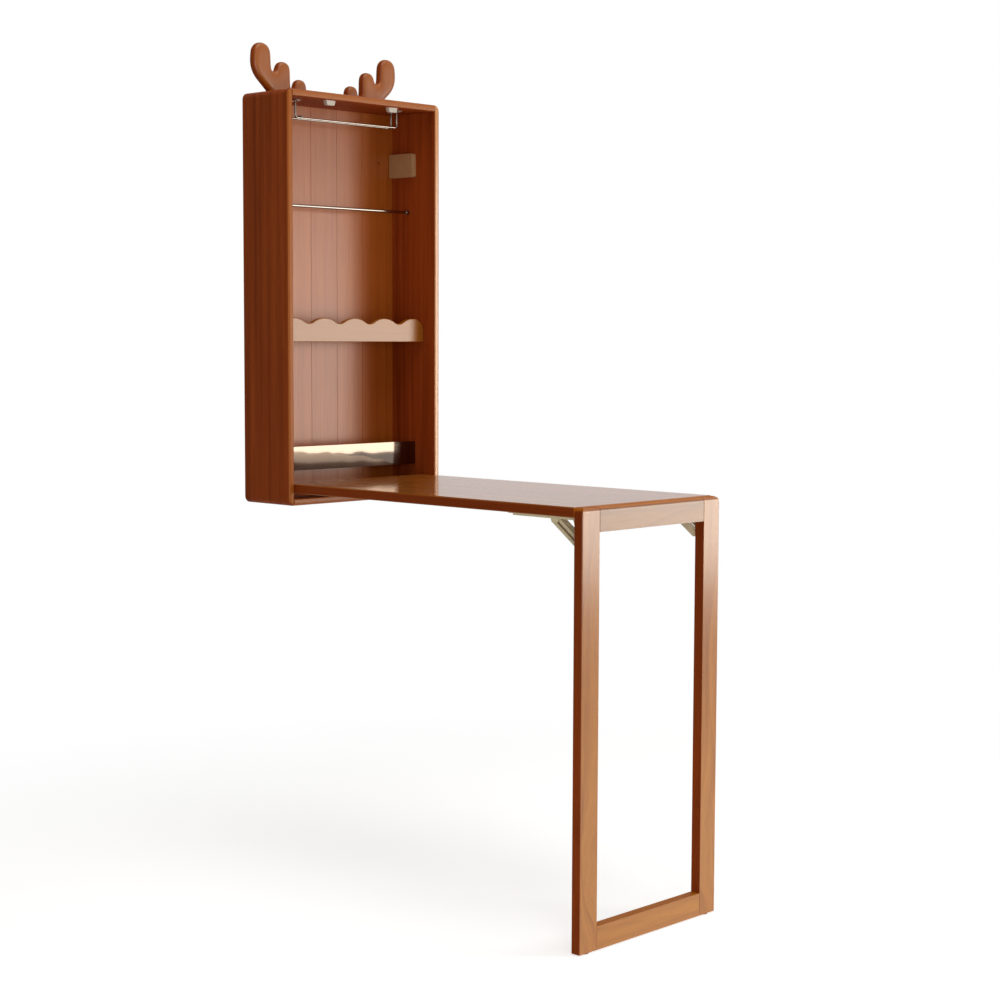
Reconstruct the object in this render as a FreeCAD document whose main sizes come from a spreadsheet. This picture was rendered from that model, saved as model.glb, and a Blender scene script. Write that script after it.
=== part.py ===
import FreeCAD, Part
import math
import os
import re

# Wall cabinet whose front closes with a folding bar table, in millimetres.
# X runs along the wall, Y points into the wall and Z points up.
# The origin is the middle of the four wall screws, on the wall's face.

SIZES = {
    # Cabinet
    "cabinet_width": 540,
    "cabinet_height": 1060,
    "cabinet_depth": 178,
    "cabinet_above_floor": 968,
    "panel_thickness": 18,
    "back_thickness": 9,
    "outer_corner_radius": 17,
    "outer_edge_radius": 7,
    "inner_edge_radius": 4,
    "groove_pitch": 92,
    "groove_width": 1.2,
    "groove_depth": 0.6,
    "wall_hole_radius": 3,
    "wall_hole_across": 400,
    "wall_hole_height": 760,
    # Dowels that join the wooden panels
    "dowel_radius": 4,
    "dowel_length": 30,
    "dowel_in_side": 12,
    "dowel_inset": 36,
    "fit_gap": 0.05,
    # Antlers on the top
    "antler_width": 182,
    "antler_height": 132,
    "antler_inner_x": 68,
    "antler_thickness": 27,
    "antler_from_wall": 1,
    "antler_edge_radius": 10,
    "antler_dowel_spacing": 60,
    "antler_dowel_x": 98,
    # Shelf with the wavy front lip
    "middle_shelf_rise": 420,
    "middle_shelf_depth": 112,
    "shelf_thickness": 15,
    "lip_thickness": 12,
    "lip_crest_height": 63,
    "lip_trough_height": 48,
    "lip_end_flat": 2,
    "lip_end_radius": 36,
    "lip_edge_radius": 2,
    "lip_dowel_radius": 3,
    "lip_dowel_length": 20,
    "lip_dowel_in_lip": 7,
    "lip_dowel_from_side": 62,
    # Shelf with the polished guard strip
    "bottle_shelf_rise": 86,
    "bottle_shelf_depth": 90,
    "guard_thickness": 2,
    "guard_height": 45,
    "guard_flange": 18,
    "guard_end_gap": 1,
    "guard_screw_spacing": 190,
    # Hanging rod
    "rod_radius": 4,
    "rod_drop": 267,
    "rod_from_wall": 72,
    "cup_radius": 6.5,
    "cup_length": 9,
    "cup_floor": 2,
    "cup_spigot_radius": 3,
    "cup_spigot_length": 8,
    # Socket on the right-hand wall of the cabinet
    "socket_width": 90,
    "socket_height": 64,
    "socket_depth": 13,
    "socket_wall": 2.5,
    "socket_cover_thickness": 2,
    "socket_drop": 172,
    "socket_from_back": 3,
    "socket_corner_radius": 5,
    "socket_screw_spacing": 60,
    # Magnetic catches under the top panel
    "catch_spacing": 220,
    "catch_width": 32,
    "catch_foot_width": 24,
    "catch_height": 12,
    "catch_depth": 12,
    "catch_setback": 15,
    "catch_head_seat": 4,
    "catch_screw_spacing": 16,
    "magnet_length": 8,
    "magnet_width": 8,
    "magnet_thickness": 5,
    "strike_length": 26,
    "strike_width": 12,
    "strike_thickness": 1.5,
    "strike_above_underside": 2,
    # Glass rack
    "rack_wire_radius": 2.5,
    "rack_wire_spacing": 22,
    "rack_from_side": 73,
    "rack_drop": 44,
    "rack_bend_radius": 9,
    "rack_from_wall": 92,
    "rack_plate_width": 16,
    "rack_plate_depth": 46,
    "rack_plate_thickness": 2,
    "rack_screw_spacing": 36,
    "rack_stop_inset": 12,
    "rack_stop_radius": 2,
    # Table board and its hinge
    "board_thickness": 24,
    "board_side_gap": 2,
    "board_gap": 14,
    "board_setback": 17,
    "board_top_gap": 1.5,
    "board_edge_radius": 5,
    "pivot_inset": 20,
    "hinge_pin_radius": 4,
    "hinge_pin_in_board": 14,
    "bush_radius": 7,
    "bush_length": 11,
    "running_gap": 0.05,
    # Leg frame
    "leg_thickness": 26,
    "leg_gap": 0.5,
    "stile_width": 60,
    "leg_rail_height": 58,
    "leg_foot_rail_height": 55,
    "leg_top_radius": 12,
    "leg_corner_radius": 17,
    "leg_edge_radius": 3,
    "joint_edge_radius": 1.2,
    "leg_dowel_radius": 4,
    "leg_dowel_length": 40,
    "leg_dowel_spacing": 30,
    "glide_radius": 11,
    "glide_thickness": 3,
    # Folding brackets
    "sheet_thickness": 2,
    "bracket_side_gap": 0.4,
    "bracket_inset": 25,
    "flange_width": 18,
    "pivot_offset": 12,
    "web_height": 8,
    "lug_half_width": 8,
    "lug_below_pivot": 6,
    "lug_slope": 4,
    "lug_corner_radius": 5,
    "table_rail_length": 207,
    "leg_rail_length": 90,
    "brace_reach": 69,
    "brace_drop": 51,
    "strap_half_width": 11,
    "strap_depth": 20,
    "slot_half_width": 3.2,
    "slot_start": 17.5,
    "pin_radius": 3,
    "pin_head_radius": 5,
    "pin_head_thickness": 1.6,
    "table_rail_screw_inset": 22,
    "leg_rail_screw_inset": 14,
    # Screws
    "screw_head_radius": 3.2,
    "screw_head_height": 1.8,
    "screw_radius": 1.6,
    "screw_length": 12,
    "flat_head_radius": 3,
}

# Places worked out from the sizes, in the order in which they build on each other.
PLACES = {
    "half_width": "cabinet_width / 2",
    "inside_x": "half_width - panel_thickness",
    "base_z": "-cabinet_height / 2",
    "top_z": "cabinet_height / 2",
    "inside_floor_z": "base_z + panel_thickness",
    "ceiling_z": "top_z - panel_thickness",
    "floor_z": "base_z - cabinet_above_floor",
    "front_y": "-cabinet_depth",
    "back_face_y": "-back_thickness",
    "board_half_width": "inside_x - board_side_gap",
    "board_bottom_z": "inside_floor_z + board_gap",
    "board_top_z": "board_bottom_z + board_thickness",
    "pivot_z": "board_bottom_z + board_thickness / 2",
    "pivot_y": "front_y + board_setback + board_thickness / 2",
    "board_inner_y": "pivot_y + pivot_inset",
    "catch_bottom_z": "ceiling_z - catch_height",
    "board_reach": "catch_bottom_z - board_top_gap - pivot_z",
    "board_far_y": "pivot_y - board_reach",
    "leg_back_y": "board_far_y - leg_gap",
    "fold_y": "leg_back_y + pivot_offset",
    "fold_z": "board_bottom_z - pivot_offset",
    "stile_bottom_z": "floor_z + glide_thickness",
    "stile_inner_x": "board_half_width - stile_width",
    "table_web_x": "board_half_width - bracket_inset",
    "leg_web_x": "table_web_x - sheet_thickness - bracket_side_gap",
    "strap_x": "leg_web_x - sheet_thickness - bracket_side_gap",
    "strap_length": "sqrt(brace_reach ^ 2 + brace_drop ^ 2)",
    "middle_shelf_z": "base_z + middle_shelf_rise",
    "lip_back_y": "back_face_y - middle_shelf_depth",
    "lip_wave_pitch": "(inside_x - lip_end_radius - lip_end_flat) / 2",
    "lip_dowel_spacing": "inside_x - lip_dowel_from_side",
    "bottle_shelf_z": "base_z + bottle_shelf_rise",
    "bottle_shelf_top_z": "bottle_shelf_z + shelf_thickness",
    "bottle_shelf_front_y": "back_face_y - bottle_shelf_depth",
    "rod_z": "ceiling_z - rod_drop",
    "socket_z": "ceiling_z - socket_drop",
    "socket_back_y": "back_face_y - socket_from_back",
    "socket_middle_y": "socket_back_y - socket_width / 2",
    "socket_middle_z": "socket_z + socket_height / 2",
    "catch_x": "catch_spacing / 2",
    "catch_front_y": "front_y + catch_setback",
    "catch_middle_y": "catch_front_y + catch_depth / 2",
    "strike_middle_z": "board_bottom_z + strike_above_underside + strike_width / 2",
    "rack_end_x": "inside_x - rack_from_side",
    "rack_wire_z": "ceiling_z - rack_drop",
    "rack_plate_z": "ceiling_z - rack_plate_thickness",
    "antler_middle_y": "-antler_from_wall - antler_thickness / 2",
}

# Part of a wave's two radii, crest and trough, that the crest takes
LIP_CREST_SHARE = 0.684

# Antler outline, from its inner foot round to its outer foot: across, up and
# corner radius, as shares of the antler's width, height and width.
ANTLER_SHARES = [
    (0.00, 0.00, 0.00), (0.02, 0.375, 0.10), (0.24, 0.375, 0.10), (0.25, 0.15, 0.026), (0.31, 0.15, 0.026),
    (0.32, 0.68, 0.105), (0.545, 0.68, 0.10), (0.59, 0.45, 0.033), (0.665, 0.47, 0.033), (0.68, 1.00, 0.15),
    (0.99, 1.00, 0.15), (1.02, 0.44, 0.34), (0.66, 0.00, 0.00),
]

TURNS = {
    "+x": (FreeCAD.Vector(0, 1, 0), 90),
    "-x": (FreeCAD.Vector(0, 1, 0), -90),
    "+y": (FreeCAD.Vector(1, 0, 0), -90),
    "-y": (FreeCAD.Vector(1, 0, 0), 90),
    "+z": (FreeCAD.Vector(0, 0, 1), 0),
    "-z": (FreeCAD.Vector(1, 0, 0), 180),
}
SIDES = {"left": "-1", "right": "1"}

doc = FreeCAD.newDocument("folding_bar_table")
sheet = doc.addObject("Spreadsheet::Sheet", "Sizes")
places = doc.addObject("App::VarSet", "Places")
nodes = []


def formula(text):
    """Name the sheet or the set of places before each size in a formula."""
    def owner(match):
        word = match.group(0)
        if word in SIZES:
            return "Sizes." + word
        if word in PLACES:
            return "Places." + word
        return word
    return re.sub(r"[a-z_]+", owner, text)


def bind(thing, **formulas):
    """Tie properties to formulas; x, y and z are the placement's base."""
    for name, text in formulas.items():
        path = "Placement.Base." + name if name in ("x", "y", "z") else name
        thing.setExpression(path, formula(text))


def size(name):
    """A size or a place as a number, read from the document."""
    return float(getattr(sheet if name in SIZES else places, name))


def fill_document():
    """Write the driving sizes as plain numbers and bind the places to them."""
    for row, (name, value) in enumerate(SIZES.items(), start=1):
        sheet.set("A%d" % row, name)
        sheet.set("B%d" % row, str(value))
        sheet.setAlias("B%d" % row, name)
    doc.recompute()
    for name, text in PLACES.items():
        places.addProperty("App::PropertyFloat", name, "Places")
        places.setExpression(name, formula(text))
        doc.recompute()


def turned(direction):
    axis, degrees = TURNS[direction]
    return FreeCAD.Placement(FreeCAD.Vector(), FreeCAD.Rotation(axis, degrees))


def keep(part, label):
    """Give a finished sub-part its label and put it on the list of nodes."""
    part.Label = label
    nodes.append(part)
    return part


def new_body(label):
    return keep(doc.addObject("PartDesign::Body", label + "_body"), label)


def feature(body, kind, title):
    name = "%s_%s_%d" % (body.Label, title, len(body.Group))
    return body.newObject("PartDesign::" + kind, name)


def block(body, kind, x, y, z, across, deep, high):
    """Add or take a box with its low corner at x, y, z in the body's own frame."""
    part = feature(body, kind + "Box", "block")
    bind(part, Length=across, Width=deep, Height=high, x=x, y=y, z=z)
    return part


def cylinder(body, kind, direction, x, y, z, radius, length):
    """Add or take a round bar that starts at x, y, z and runs along a direction."""
    part = feature(body, kind + "Cylinder", "round")
    part.Placement = turned(direction)
    bind(part, Radius=radius, Height=length, x=x, y=y, z=z)
    return part


def drill(body, direction, x, y, z, radius, length):
    return cylinder(body, "Subtractive", direction, x, y, z, radius, length)


def round_edges(body, radius, test):
    """Round the edges of the body's last feature whose bounding box passes the test."""
    doc.recompute()
    base = body.Tip
    names = []
    for number, edge in enumerate(base.Shape.Edges, start=1):
        low = edge.BoundBox
        if test(low):
            names.append("Edge%d" % number)
    part = feature(body, "Fillet", "rounding")
    part.Base = (base, names)
    bind(part, Radius=radius)
    doc.recompute()
    return part


def near(value, target):
    """True when two lengths agree within the fit gap."""
    return abs(value - target) < size("fit_gap")


def flat(low, high):
    return near(low, high)


def sketch(body, plane, curves):
    """A closed or open outline on one of the body's own origin planes."""
    drawing = body.newObject("Sketcher::SketchObject", "%s_outline_%d" % (body.Label, len(body.Group)))
    origin_plane = [item for item in body.Origin.OriginFeatures if item.Role == plane][0]
    drawing.AttachmentSupport = [(origin_plane, "")]
    drawing.MapMode = "FlatFace"
    drawing.addGeometry(curves, False)
    return drawing


def pad(body, plane, curves, thickness):
    """Pad an outline: off the XZ plane it grows towards -Y, off the YZ plane towards +X."""
    drawing = sketch(body, plane, curves)
    part = feature(body, "Pad", "pad")
    part.Profile = drawing
    bind(part, Length=thickness)
    return part


def point(across, up):
    return FreeCAD.Vector(across, up, 0)


def rounded_outline(corners):
    """Lines and arcs through corners given as across, up and corner radius."""
    curves = []
    ends = []
    count = len(corners)
    for index, (across, up, radius) in enumerate(corners):
        corner = point(across, up)
        if radius == 0:
            ends.append((corner, corner))
            continue
        before = point(*corners[index - 1][:2]) - corner
        after = point(*corners[(index + 1) % count][:2]) - corner
        half_turn = before.getAngle(after) / 2
        before.normalize()
        after.normalize()
        reach = radius / math.tan(half_turn)
        middle = (before + after).normalize()
        top = corner + middle * (radius / math.sin(half_turn) - radius)
        start = corner + before * reach
        end = corner + after * reach
        curves.append(Part.Arc(start, top, end))
        ends.append((start, end))
    for index in range(count):
        start = ends[index][1]
        end = ends[(index + 1) % count][0]
        if start.distanceToPoint(end) > size("fit_gap"):
            curves.append(Part.LineSegment(start, end))
    return curves


def cut_round(body, plane, corner, outward, radius_name, offset, depth):
    """Cut one corner of a body's outline to a radius, from a plane's offset back through a depth."""
    radius = size(radius_name)
    across, up = outward
    inset = radius * (1 - math.sqrt(0.5))
    start = point(corner[0] - across * radius, corner[1])
    end = point(corner[0], corner[1] - up * radius)
    far = point(corner[0] + across * radius, corner[1] + up * radius)
    rim = [start, point(start.x, far.y), far, point(far.x, end.y), end]
    curves = [Part.Arc(start, point(corner[0] - across * inset, corner[1] - up * inset), end)]
    for first, second in zip(rim, rim[1:]):
        curves.append(Part.LineSegment(first, second))
    drawing = sketch(body, plane, curves)
    drawing.setExpression("AttachmentOffset.Base.z", formula(offset))
    part = feature(body, "Pocket", "round")
    part.Profile = drawing
    bind(part, Length=depth)
    doc.recompute()


def bar(name, direction, x, y, z, radius, length):
    """One round bar as a Part cylinder."""
    part = doc.addObject("Part::Cylinder", name)
    part.Placement = turned(direction)
    bind(part, Radius=radius, Height=length, x=x, y=y, z=z)
    return part


def group(label, parts):
    """Several separate solids of one kind that share a node."""
    compound = doc.addObject("Part::Compound", label + "_group")
    compound.Links = parts
    return keep(compound, label)


def bars(label, direction, spots, radius, length):
    """A node of identical round bars, one at each spot."""
    parts = []
    for number, (x, y, z) in enumerate(spots, start=1):
        parts.append(bar("%s_%d" % (label, number), direction, x, y, z, radius, length))
    return group(label, parts)


def screws(label, placed):
    """A node of round-headed screws; each spot is the face under the head."""
    parts = []
    for number, (direction, x, y, z) in enumerate(placed, start=1):
        shank = doc.addObject("Part::Cylinder", "%s_shank_%d" % (label, number))
        bind(shank, Radius="screw_radius", Height="screw_length")
        head = doc.addObject("Part::Cylinder", "%s_head_%d" % (label, number))
        bind(head, Radius="screw_head_radius", Height="screw_head_height", z="-screw_head_height")
        whole = doc.addObject("Part::Fuse", "%s_%d" % (label, number))
        whole.Base = head
        whole.Tool = shank
        whole.Placement = turned(direction)
        bind(whole, x=x, y=y, z=z)
        parts.append(whole)
    return group(label, parts)


def pilot(body, direction, x, y, z, plate):
    """The hole that a screw cuts behind a plate of the given thickness."""
    drill(body, direction, x, y, z, "screw_radius + fit_gap", "screw_length - (%s) + fit_gap" % plate)


def corner_spots(across, deep):
    """The four sign pairs of a rectangle, each as two formulas."""
    spots = []
    for first in ("-", ""):
        for second in ("-", ""):
            spots.append((first + across, second + deep))
    return spots


# Places that several pieces share
def panel_dowel_spots(height):
    """Front and rear dowel of a panel that runs between the sides."""
    return [("front_y + dowel_inset", height), ("-dowel_inset", height)]


def shelf_dowel_spots(front, height):
    return [(front + " + dowel_inset", height), ("-dowel_inset", height)]


SIDE_DOWELS = {
    "panel_dowels": panel_dowel_spots("ceiling_z + panel_thickness / 2")
    + panel_dowel_spots("base_z + panel_thickness / 2"),
    "middle_shelf_dowels": shelf_dowel_spots("lip_back_y", "middle_shelf_z + shelf_thickness / 2"),
    "bottle_shelf_dowels": shelf_dowel_spots("bottle_shelf_front_y", "bottle_shelf_z + shelf_thickness / 2"),
}


def antler_dowel_xs(side):
    sign = SIDES[side]
    return [sign + " * antler_dowel_x", sign + " * (antler_dowel_x + antler_dowel_spacing)"]


def socket_screw_ys():
    return ["socket_middle_y - socket_screw_spacing / 2", "socket_middle_y + socket_screw_spacing / 2"]


def catch_screw_xs(side):
    middle = SIDES[side] + " * catch_x"
    return [middle + " - catch_screw_spacing / 2", middle + " + catch_screw_spacing / 2"]


def rack_screw_ys():
    return ["-rack_from_wall - rack_screw_spacing / 2", "-rack_from_wall + rack_screw_spacing / 2"]


def body_low_x(side, web):
    """Low face of a bracket's sheet, whose outer face is at the web's place."""
    return "-%s" % web if side == "left" else "%s - sheet_thickness" % web


def flange_x(side, web):
    """Middle of a bracket flange, which lies on the outer side of its web."""
    return "%s * (%s - sheet_thickness + flange_width / 2)" % (SIDES[side], web)


def table_rail_screw_ys():
    first = "fold_y + table_rail_screw_inset"
    last = "fold_y - lug_half_width + table_rail_length - table_rail_screw_inset"
    return [first, "(%s + %s) / 2" % (first, last), last]


def leg_rail_screw_zs():
    return ["fold_z + lug_half_width - leg_rail_screw_inset", "fold_z + lug_half_width - leg_rail_length + leg_rail_screw_inset"]


# Cabinet
def side_panel(side):
    """Full-height side with its outer corners rounded and dowel holes inside."""
    sign = SIDES[side]
    body = new_body(side + "_side_panel")
    low_x = "-half_width" if side == "left" else "inside_x"
    block(body, "Additive", low_x, "front_y", "base_z", "panel_thickness", "cabinet_depth", "cabinet_height")
    outer = float(sign) * size("half_width")
    inner = float(sign) * size("inside_x")
    front = size("front_y")
    round_edges(body, "outer_corner_radius",
                lambda low: near(low.XMin, outer) and near(low.XMax, outer) and flat(low.ZMin, low.ZMax))
    round_edges(body, "outer_edge_radius",
                lambda low: near(low.YMax, front) and not (near(low.XMin, inner) and near(low.XMax, inner)))
    cut_round(body, "XY_Plane", (inner, front), (-float(sign), -1), "inner_edge_radius", "top_z",
              "cabinet_height")
    outward = "-x" if side == "left" else "+x"
    wall = sign + " * inside_x"
    for spots in SIDE_DOWELS.values():
        for y, z in spots:
            drill(body, outward, wall, y, z, "dowel_radius + fit_gap", "dowel_in_side + fit_gap")
    drill(body, outward, wall, "pivot_y", "pivot_z", "bush_radius + fit_gap", "bush_length + fit_gap")
    drill(body, outward, wall, "-rod_from_wall", "rod_z", "cup_spigot_radius + fit_gap",
          "cup_spigot_length + fit_gap")
    if side == "right":
        for y in socket_screw_ys():
            pilot(body, outward, wall, y, "socket_middle_z", "socket_wall")


def cross_panel(label, height):
    """Top or bottom panel, dowelled between the two sides."""
    body = new_body(label)
    block(body, "Additive", "-inside_x", "front_y", height, "2 * inside_x", "cabinet_depth", "panel_thickness")
    front = size("front_y")
    outer_z = size("top_z") if label == "top_panel" else size("base_z")
    round_edges(body, "outer_edge_radius",
                lambda low: near(low.YMax, front) and near(low.ZMin, outer_z) and near(low.ZMax, outer_z))
    inner_z = size("ceiling_z") if label == "top_panel" else size("inside_floor_z")
    round_edges(body, "inner_edge_radius",
                lambda low: near(low.YMax, front) and near(low.ZMin, inner_z) and near(low.ZMax, inner_z))
    for y, z in panel_dowel_spots(height + " + panel_thickness / 2"):
        end_holes(body, "inside_x", y, z)
    return body


def end_holes(body, end, y, z):
    """A dowel hole in each end of a panel or shelf."""
    depth = "dowel_length - dowel_in_side + fit_gap"
    drill(body, "+x", "-" + end, y, z, "dowel_radius + fit_gap", depth)
    drill(body, "-x", end, y, z, "dowel_radius + fit_gap", depth)


def top_panel():
    body = cross_panel("top_panel", "ceiling_z")
    for side in SIDES:
        for x in antler_dowel_xs(side):
            drill(body, "-z", x, "antler_middle_y", "top_z", "dowel_radius + fit_gap", "dowel_in_side + fit_gap")
        for x in catch_screw_xs(side):
            pilot(body, "+z", x, "catch_middle_y", "ceiling_z", "catch_head_seat")
        for y in rack_screw_ys():
            pilot(body, "+z", SIDES[side] + " * rack_end_x", y, "ceiling_z", "rack_plate_thickness")


def bottom_panel():
    cross_panel("bottom_panel", "base_z")


def back_panel():
    """Grooved back, with the four holes for the wall screws."""
    body = new_body("back_panel")
    block(body, "Additive", "-inside_x", "back_face_y", "inside_floor_z", "2 * inside_x", "back_thickness",
          "ceiling_z - inside_floor_z")
    for halves in range(-5, 6, 2):
        block(body, "Subtractive", "%d * groove_pitch / 2 - groove_width / 2" % halves, "back_face_y",
              "inside_floor_z", "groove_width", "groove_depth", "ceiling_z - inside_floor_z")
    for x, z in corner_spots("wall_hole_across / 2", "wall_hole_height / 2"):
        drill(body, "+y", x, "back_face_y", z, "wall_hole_radius", "back_thickness")


def side_dowels(label):
    """Dowels from both sides into one level of panels or a shelf."""
    parts = []
    for number, (y, z) in enumerate(SIDE_DOWELS[label], start=1):
        start = "-inside_x - dowel_in_side"
        parts.append(bar("%s_left_%d" % (label, number), "+x", start, y, z, "dowel_radius", "dowel_length"))
        start = "inside_x + dowel_in_side"
        parts.append(bar("%s_right_%d" % (label, number), "-x", start, y, z, "dowel_radius", "dowel_length"))
    group(label, parts)


def antler(side):
    """Three rounded tines cut from one board, standing on the top panel."""
    body = new_body("antler_" + side)
    sign = float(SIDES[side])
    wide = size("antler_width")
    corners = []
    for across, up, radius in ANTLER_SHARES:
        x = sign * (size("antler_inner_x") + across * wide)
        corners.append((x, up * size("antler_height"), radius * wide))
    pad(body, "XZ_Plane", rounded_outline(corners), "antler_thickness")
    bind(body, y="-antler_from_wall", z="top_z")
    round_edges(body, "antler_edge_radius",
                lambda low: flat(low.YMin, low.YMax) and low.ZMax > size("fit_gap"))
    for x in antler_dowel_xs(side):
        drill(body, "+z", x, "-antler_thickness / 2", "0", "dowel_radius + fit_gap",
              "dowel_length - dowel_in_side + fit_gap")


def antler_dowels():
    spots = []
    for side in SIDES:
        for x in antler_dowel_xs(side):
            spots.append((x, "antler_middle_y", "top_z - dowel_in_side"))
    bars("antler_dowels", "+z", spots, "dowel_radius", "dowel_length")


def middle_shelf():
    body = new_body("middle_shelf")
    block(body, "Additive", "-inside_x", "lip_back_y", "middle_shelf_z", "2 * inside_x",
          "middle_shelf_depth", "shelf_thickness")
    for y, z in SIDE_DOWELS["middle_shelf_dowels"]:
        end_holes(body, "inside_x", y, z)
    for x in lip_dowel_xs():
        drill(body, "+y", x, "lip_back_y", "middle_shelf_z + shelf_thickness / 2",
              "lip_dowel_radius + fit_gap", "lip_dowel_length - lip_dowel_in_lip + fit_gap")


def lip_dowel_xs():
    return ["-lip_dowel_spacing", "0", "lip_dowel_spacing"]


def wave_curves():
    """The lip's face: five crests and four troughs of tangent arcs, and round shoulders."""
    pitch = size("lip_wave_pitch")
    crest = size("lip_crest_height")
    trough = size("lip_trough_height")
    end = size("inside_x")
    rise = crest - trough
    both_radii = ((pitch / 2) ** 2 + rise ** 2) / (2 * rise)
    crest_radius = LIP_CREST_SHARE * both_radii
    lean = math.asin(pitch / 2 / both_radii)
    curves = []
    joint = None
    for step in range(-2, 3):
        middle = step * pitch
        drop = crest_radius * (1 - math.cos(lean))
        left = point(middle - crest_radius * math.sin(lean), crest - drop)
        right = point(middle + crest_radius * math.sin(lean), crest - drop)
        if joint is not None:
            curves.append(Part.Arc(joint, point(middle - pitch / 2, trough), left))
        if step == -2:
            left = point(middle, crest)
        if step == 2:
            right = point(middle, crest)
        summit = point(middle, crest)
        if step in (-2, 2):
            away = crest_radius * math.sin(lean / 2)
            fall = crest_radius * (1 - math.cos(lean / 2))
            summit = point(middle - away * step / 2, crest - fall)
        curves.append(Part.Arc(left, summit, right))
        joint = right
    shoulder = size("lip_end_radius")
    for sign in (1, -1):
        summit = point(sign * 2 * pitch, crest)
        bend = point(sign * (end - shoulder), crest)
        side = point(sign * end, crest - shoulder)
        middle = point(sign * (end - shoulder * (1 - math.sqrt(0.5))), crest - shoulder * (1 - math.sqrt(0.5)))
        if (bend.x - summit.x) * sign > size("fit_gap"):
            curves.append(Part.LineSegment(summit, bend))
        curves.append(Part.Arc(bend, middle, side))
        curves.append(Part.LineSegment(side, point(sign * end, 0)))
    curves.append(Part.LineSegment(point(-end, 0), point(end, 0)))
    return curves


def wave_lip():
    body = new_body("shelf_wave_lip")
    pad(body, "XZ_Plane", wave_curves(), "lip_thickness")
    bind(body, y="lip_back_y", z="middle_shelf_z")
    front = size("lip_thickness")
    round_edges(body, "lip_edge_radius", lambda low: near(low.YMin, -front) and near(low.YMax, -front))
    for x in lip_dowel_xs():
        drill(body, "-y", x, "0", "shelf_thickness / 2", "lip_dowel_radius + fit_gap",
              "lip_dowel_in_lip + fit_gap")


def lip_dowels():
    spots = []
    for x in lip_dowel_xs():
        spots.append((x, "lip_back_y - lip_dowel_in_lip", "middle_shelf_z + shelf_thickness / 2"))
    bars("lip_dowels", "+y", spots, "lip_dowel_radius", "lip_dowel_length")


def guard_screw_spots():
    """Places of the guard's screws, in the middle of its flange under the shelf."""
    return [(x, "bottle_shelf_front_y + guard_flange / 2") for x in ("-guard_screw_spacing", "0", "guard_screw_spacing")]


def bottle_shelf():
    """Lower shelf; the guard strip covers its front edge."""
    body = new_body("bottle_shelf")
    block(body, "Additive", "-inside_x", "bottle_shelf_front_y", "bottle_shelf_z", "2 * inside_x",
          "bottle_shelf_depth", "shelf_thickness")
    for y, z in SIDE_DOWELS["bottle_shelf_dowels"]:
        end_holes(body, "inside_x", y, z)
    for x, y in guard_screw_spots():
        pilot(body, "+z", x, y, "bottle_shelf_z", "guard_thickness")


def bottle_guard():
    """Polished strip with a flange that is screwed up against the shelf's underside."""
    body = new_body("bottle_guard")
    block(body, "Additive", "-inside_x + guard_end_gap", "bottle_shelf_front_y - guard_thickness",
          "bottle_shelf_z - guard_thickness", "2 * (inside_x - guard_end_gap)", "guard_thickness",
          "guard_thickness + shelf_thickness + guard_height")
    block(body, "Additive", "-inside_x + guard_end_gap", "bottle_shelf_front_y", "bottle_shelf_z - guard_thickness",
          "2 * (inside_x - guard_end_gap)", "guard_flange", "guard_thickness")
    for x, y in guard_screw_spots():
        drill(body, "+z", x, y, "bottle_shelf_z - guard_thickness", "screw_radius + fit_gap", "guard_thickness")


def guard_screws():
    placed = []
    for x, y in guard_screw_spots():
        placed.append(("+z", x, y, "bottle_shelf_z - guard_thickness"))
    screws("guard_screws", placed)


def hanging_rod():
    body = new_body("hanging_rod")
    cylinder(body, "Additive", "+x", "-inside_x + cup_floor + fit_gap", "-rod_from_wall", "rod_z",
             "rod_radius", "2 * (inside_x - cup_floor - fit_gap)")


def rod_cup(side):
    """Small cup for the rod's end, with a spigot pressed into the side panel."""
    sign = SIDES[side]
    body = new_body("rod_cup_" + side)
    inward, outward = ("+x", "-x") if side == "left" else ("-x", "+x")
    wall = sign + " * inside_x"
    cylinder(body, "Additive", inward, wall, "-rod_from_wall", "rod_z", "cup_radius", "cup_length")
    cylinder(body, "Additive", outward, wall, "-rod_from_wall", "rod_z", "cup_spigot_radius", "cup_spigot_length")
    drill(body, inward, sign + " * (inside_x - cup_floor)", "-rod_from_wall", "rod_z",
          "rod_radius + fit_gap", "cup_length")


def socket_housing():
    """Shallow open box, screwed to the right side panel through its floor."""
    body = new_body("socket_housing")
    block(body, "Additive", "inside_x - socket_depth", "socket_back_y - socket_width", "socket_z",
          "socket_depth", "socket_width", "socket_height")
    round_edges(body, "socket_corner_radius", lambda low: flat(low.YMin, low.YMax) and flat(low.ZMin, low.ZMax))
    block(body, "Subtractive", "inside_x - socket_depth", "socket_back_y - socket_width + socket_wall",
          "socket_z + socket_wall", "socket_depth - socket_wall", "socket_width - 2 * socket_wall",
          "socket_height - 2 * socket_wall")
    for y in socket_screw_ys():
        drill(body, "+x", "inside_x - socket_wall", y, "socket_middle_z", "screw_radius + fit_gap",
              "socket_wall")


def socket_cover():
    body = new_body("socket_cover")
    block(body, "Additive", "inside_x - socket_depth - socket_cover_thickness",
          "socket_back_y - socket_width", "socket_z", "socket_cover_thickness", "socket_width", "socket_height")
    round_edges(body, "socket_corner_radius", lambda low: flat(low.YMin, low.YMax) and flat(low.ZMin, low.ZMax))


def socket_screws():
    placed = []
    for y in socket_screw_ys():
        placed.append(("+x", "inside_x - socket_wall", y, "socket_middle_z"))
    screws("socket_screws", placed)


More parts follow.
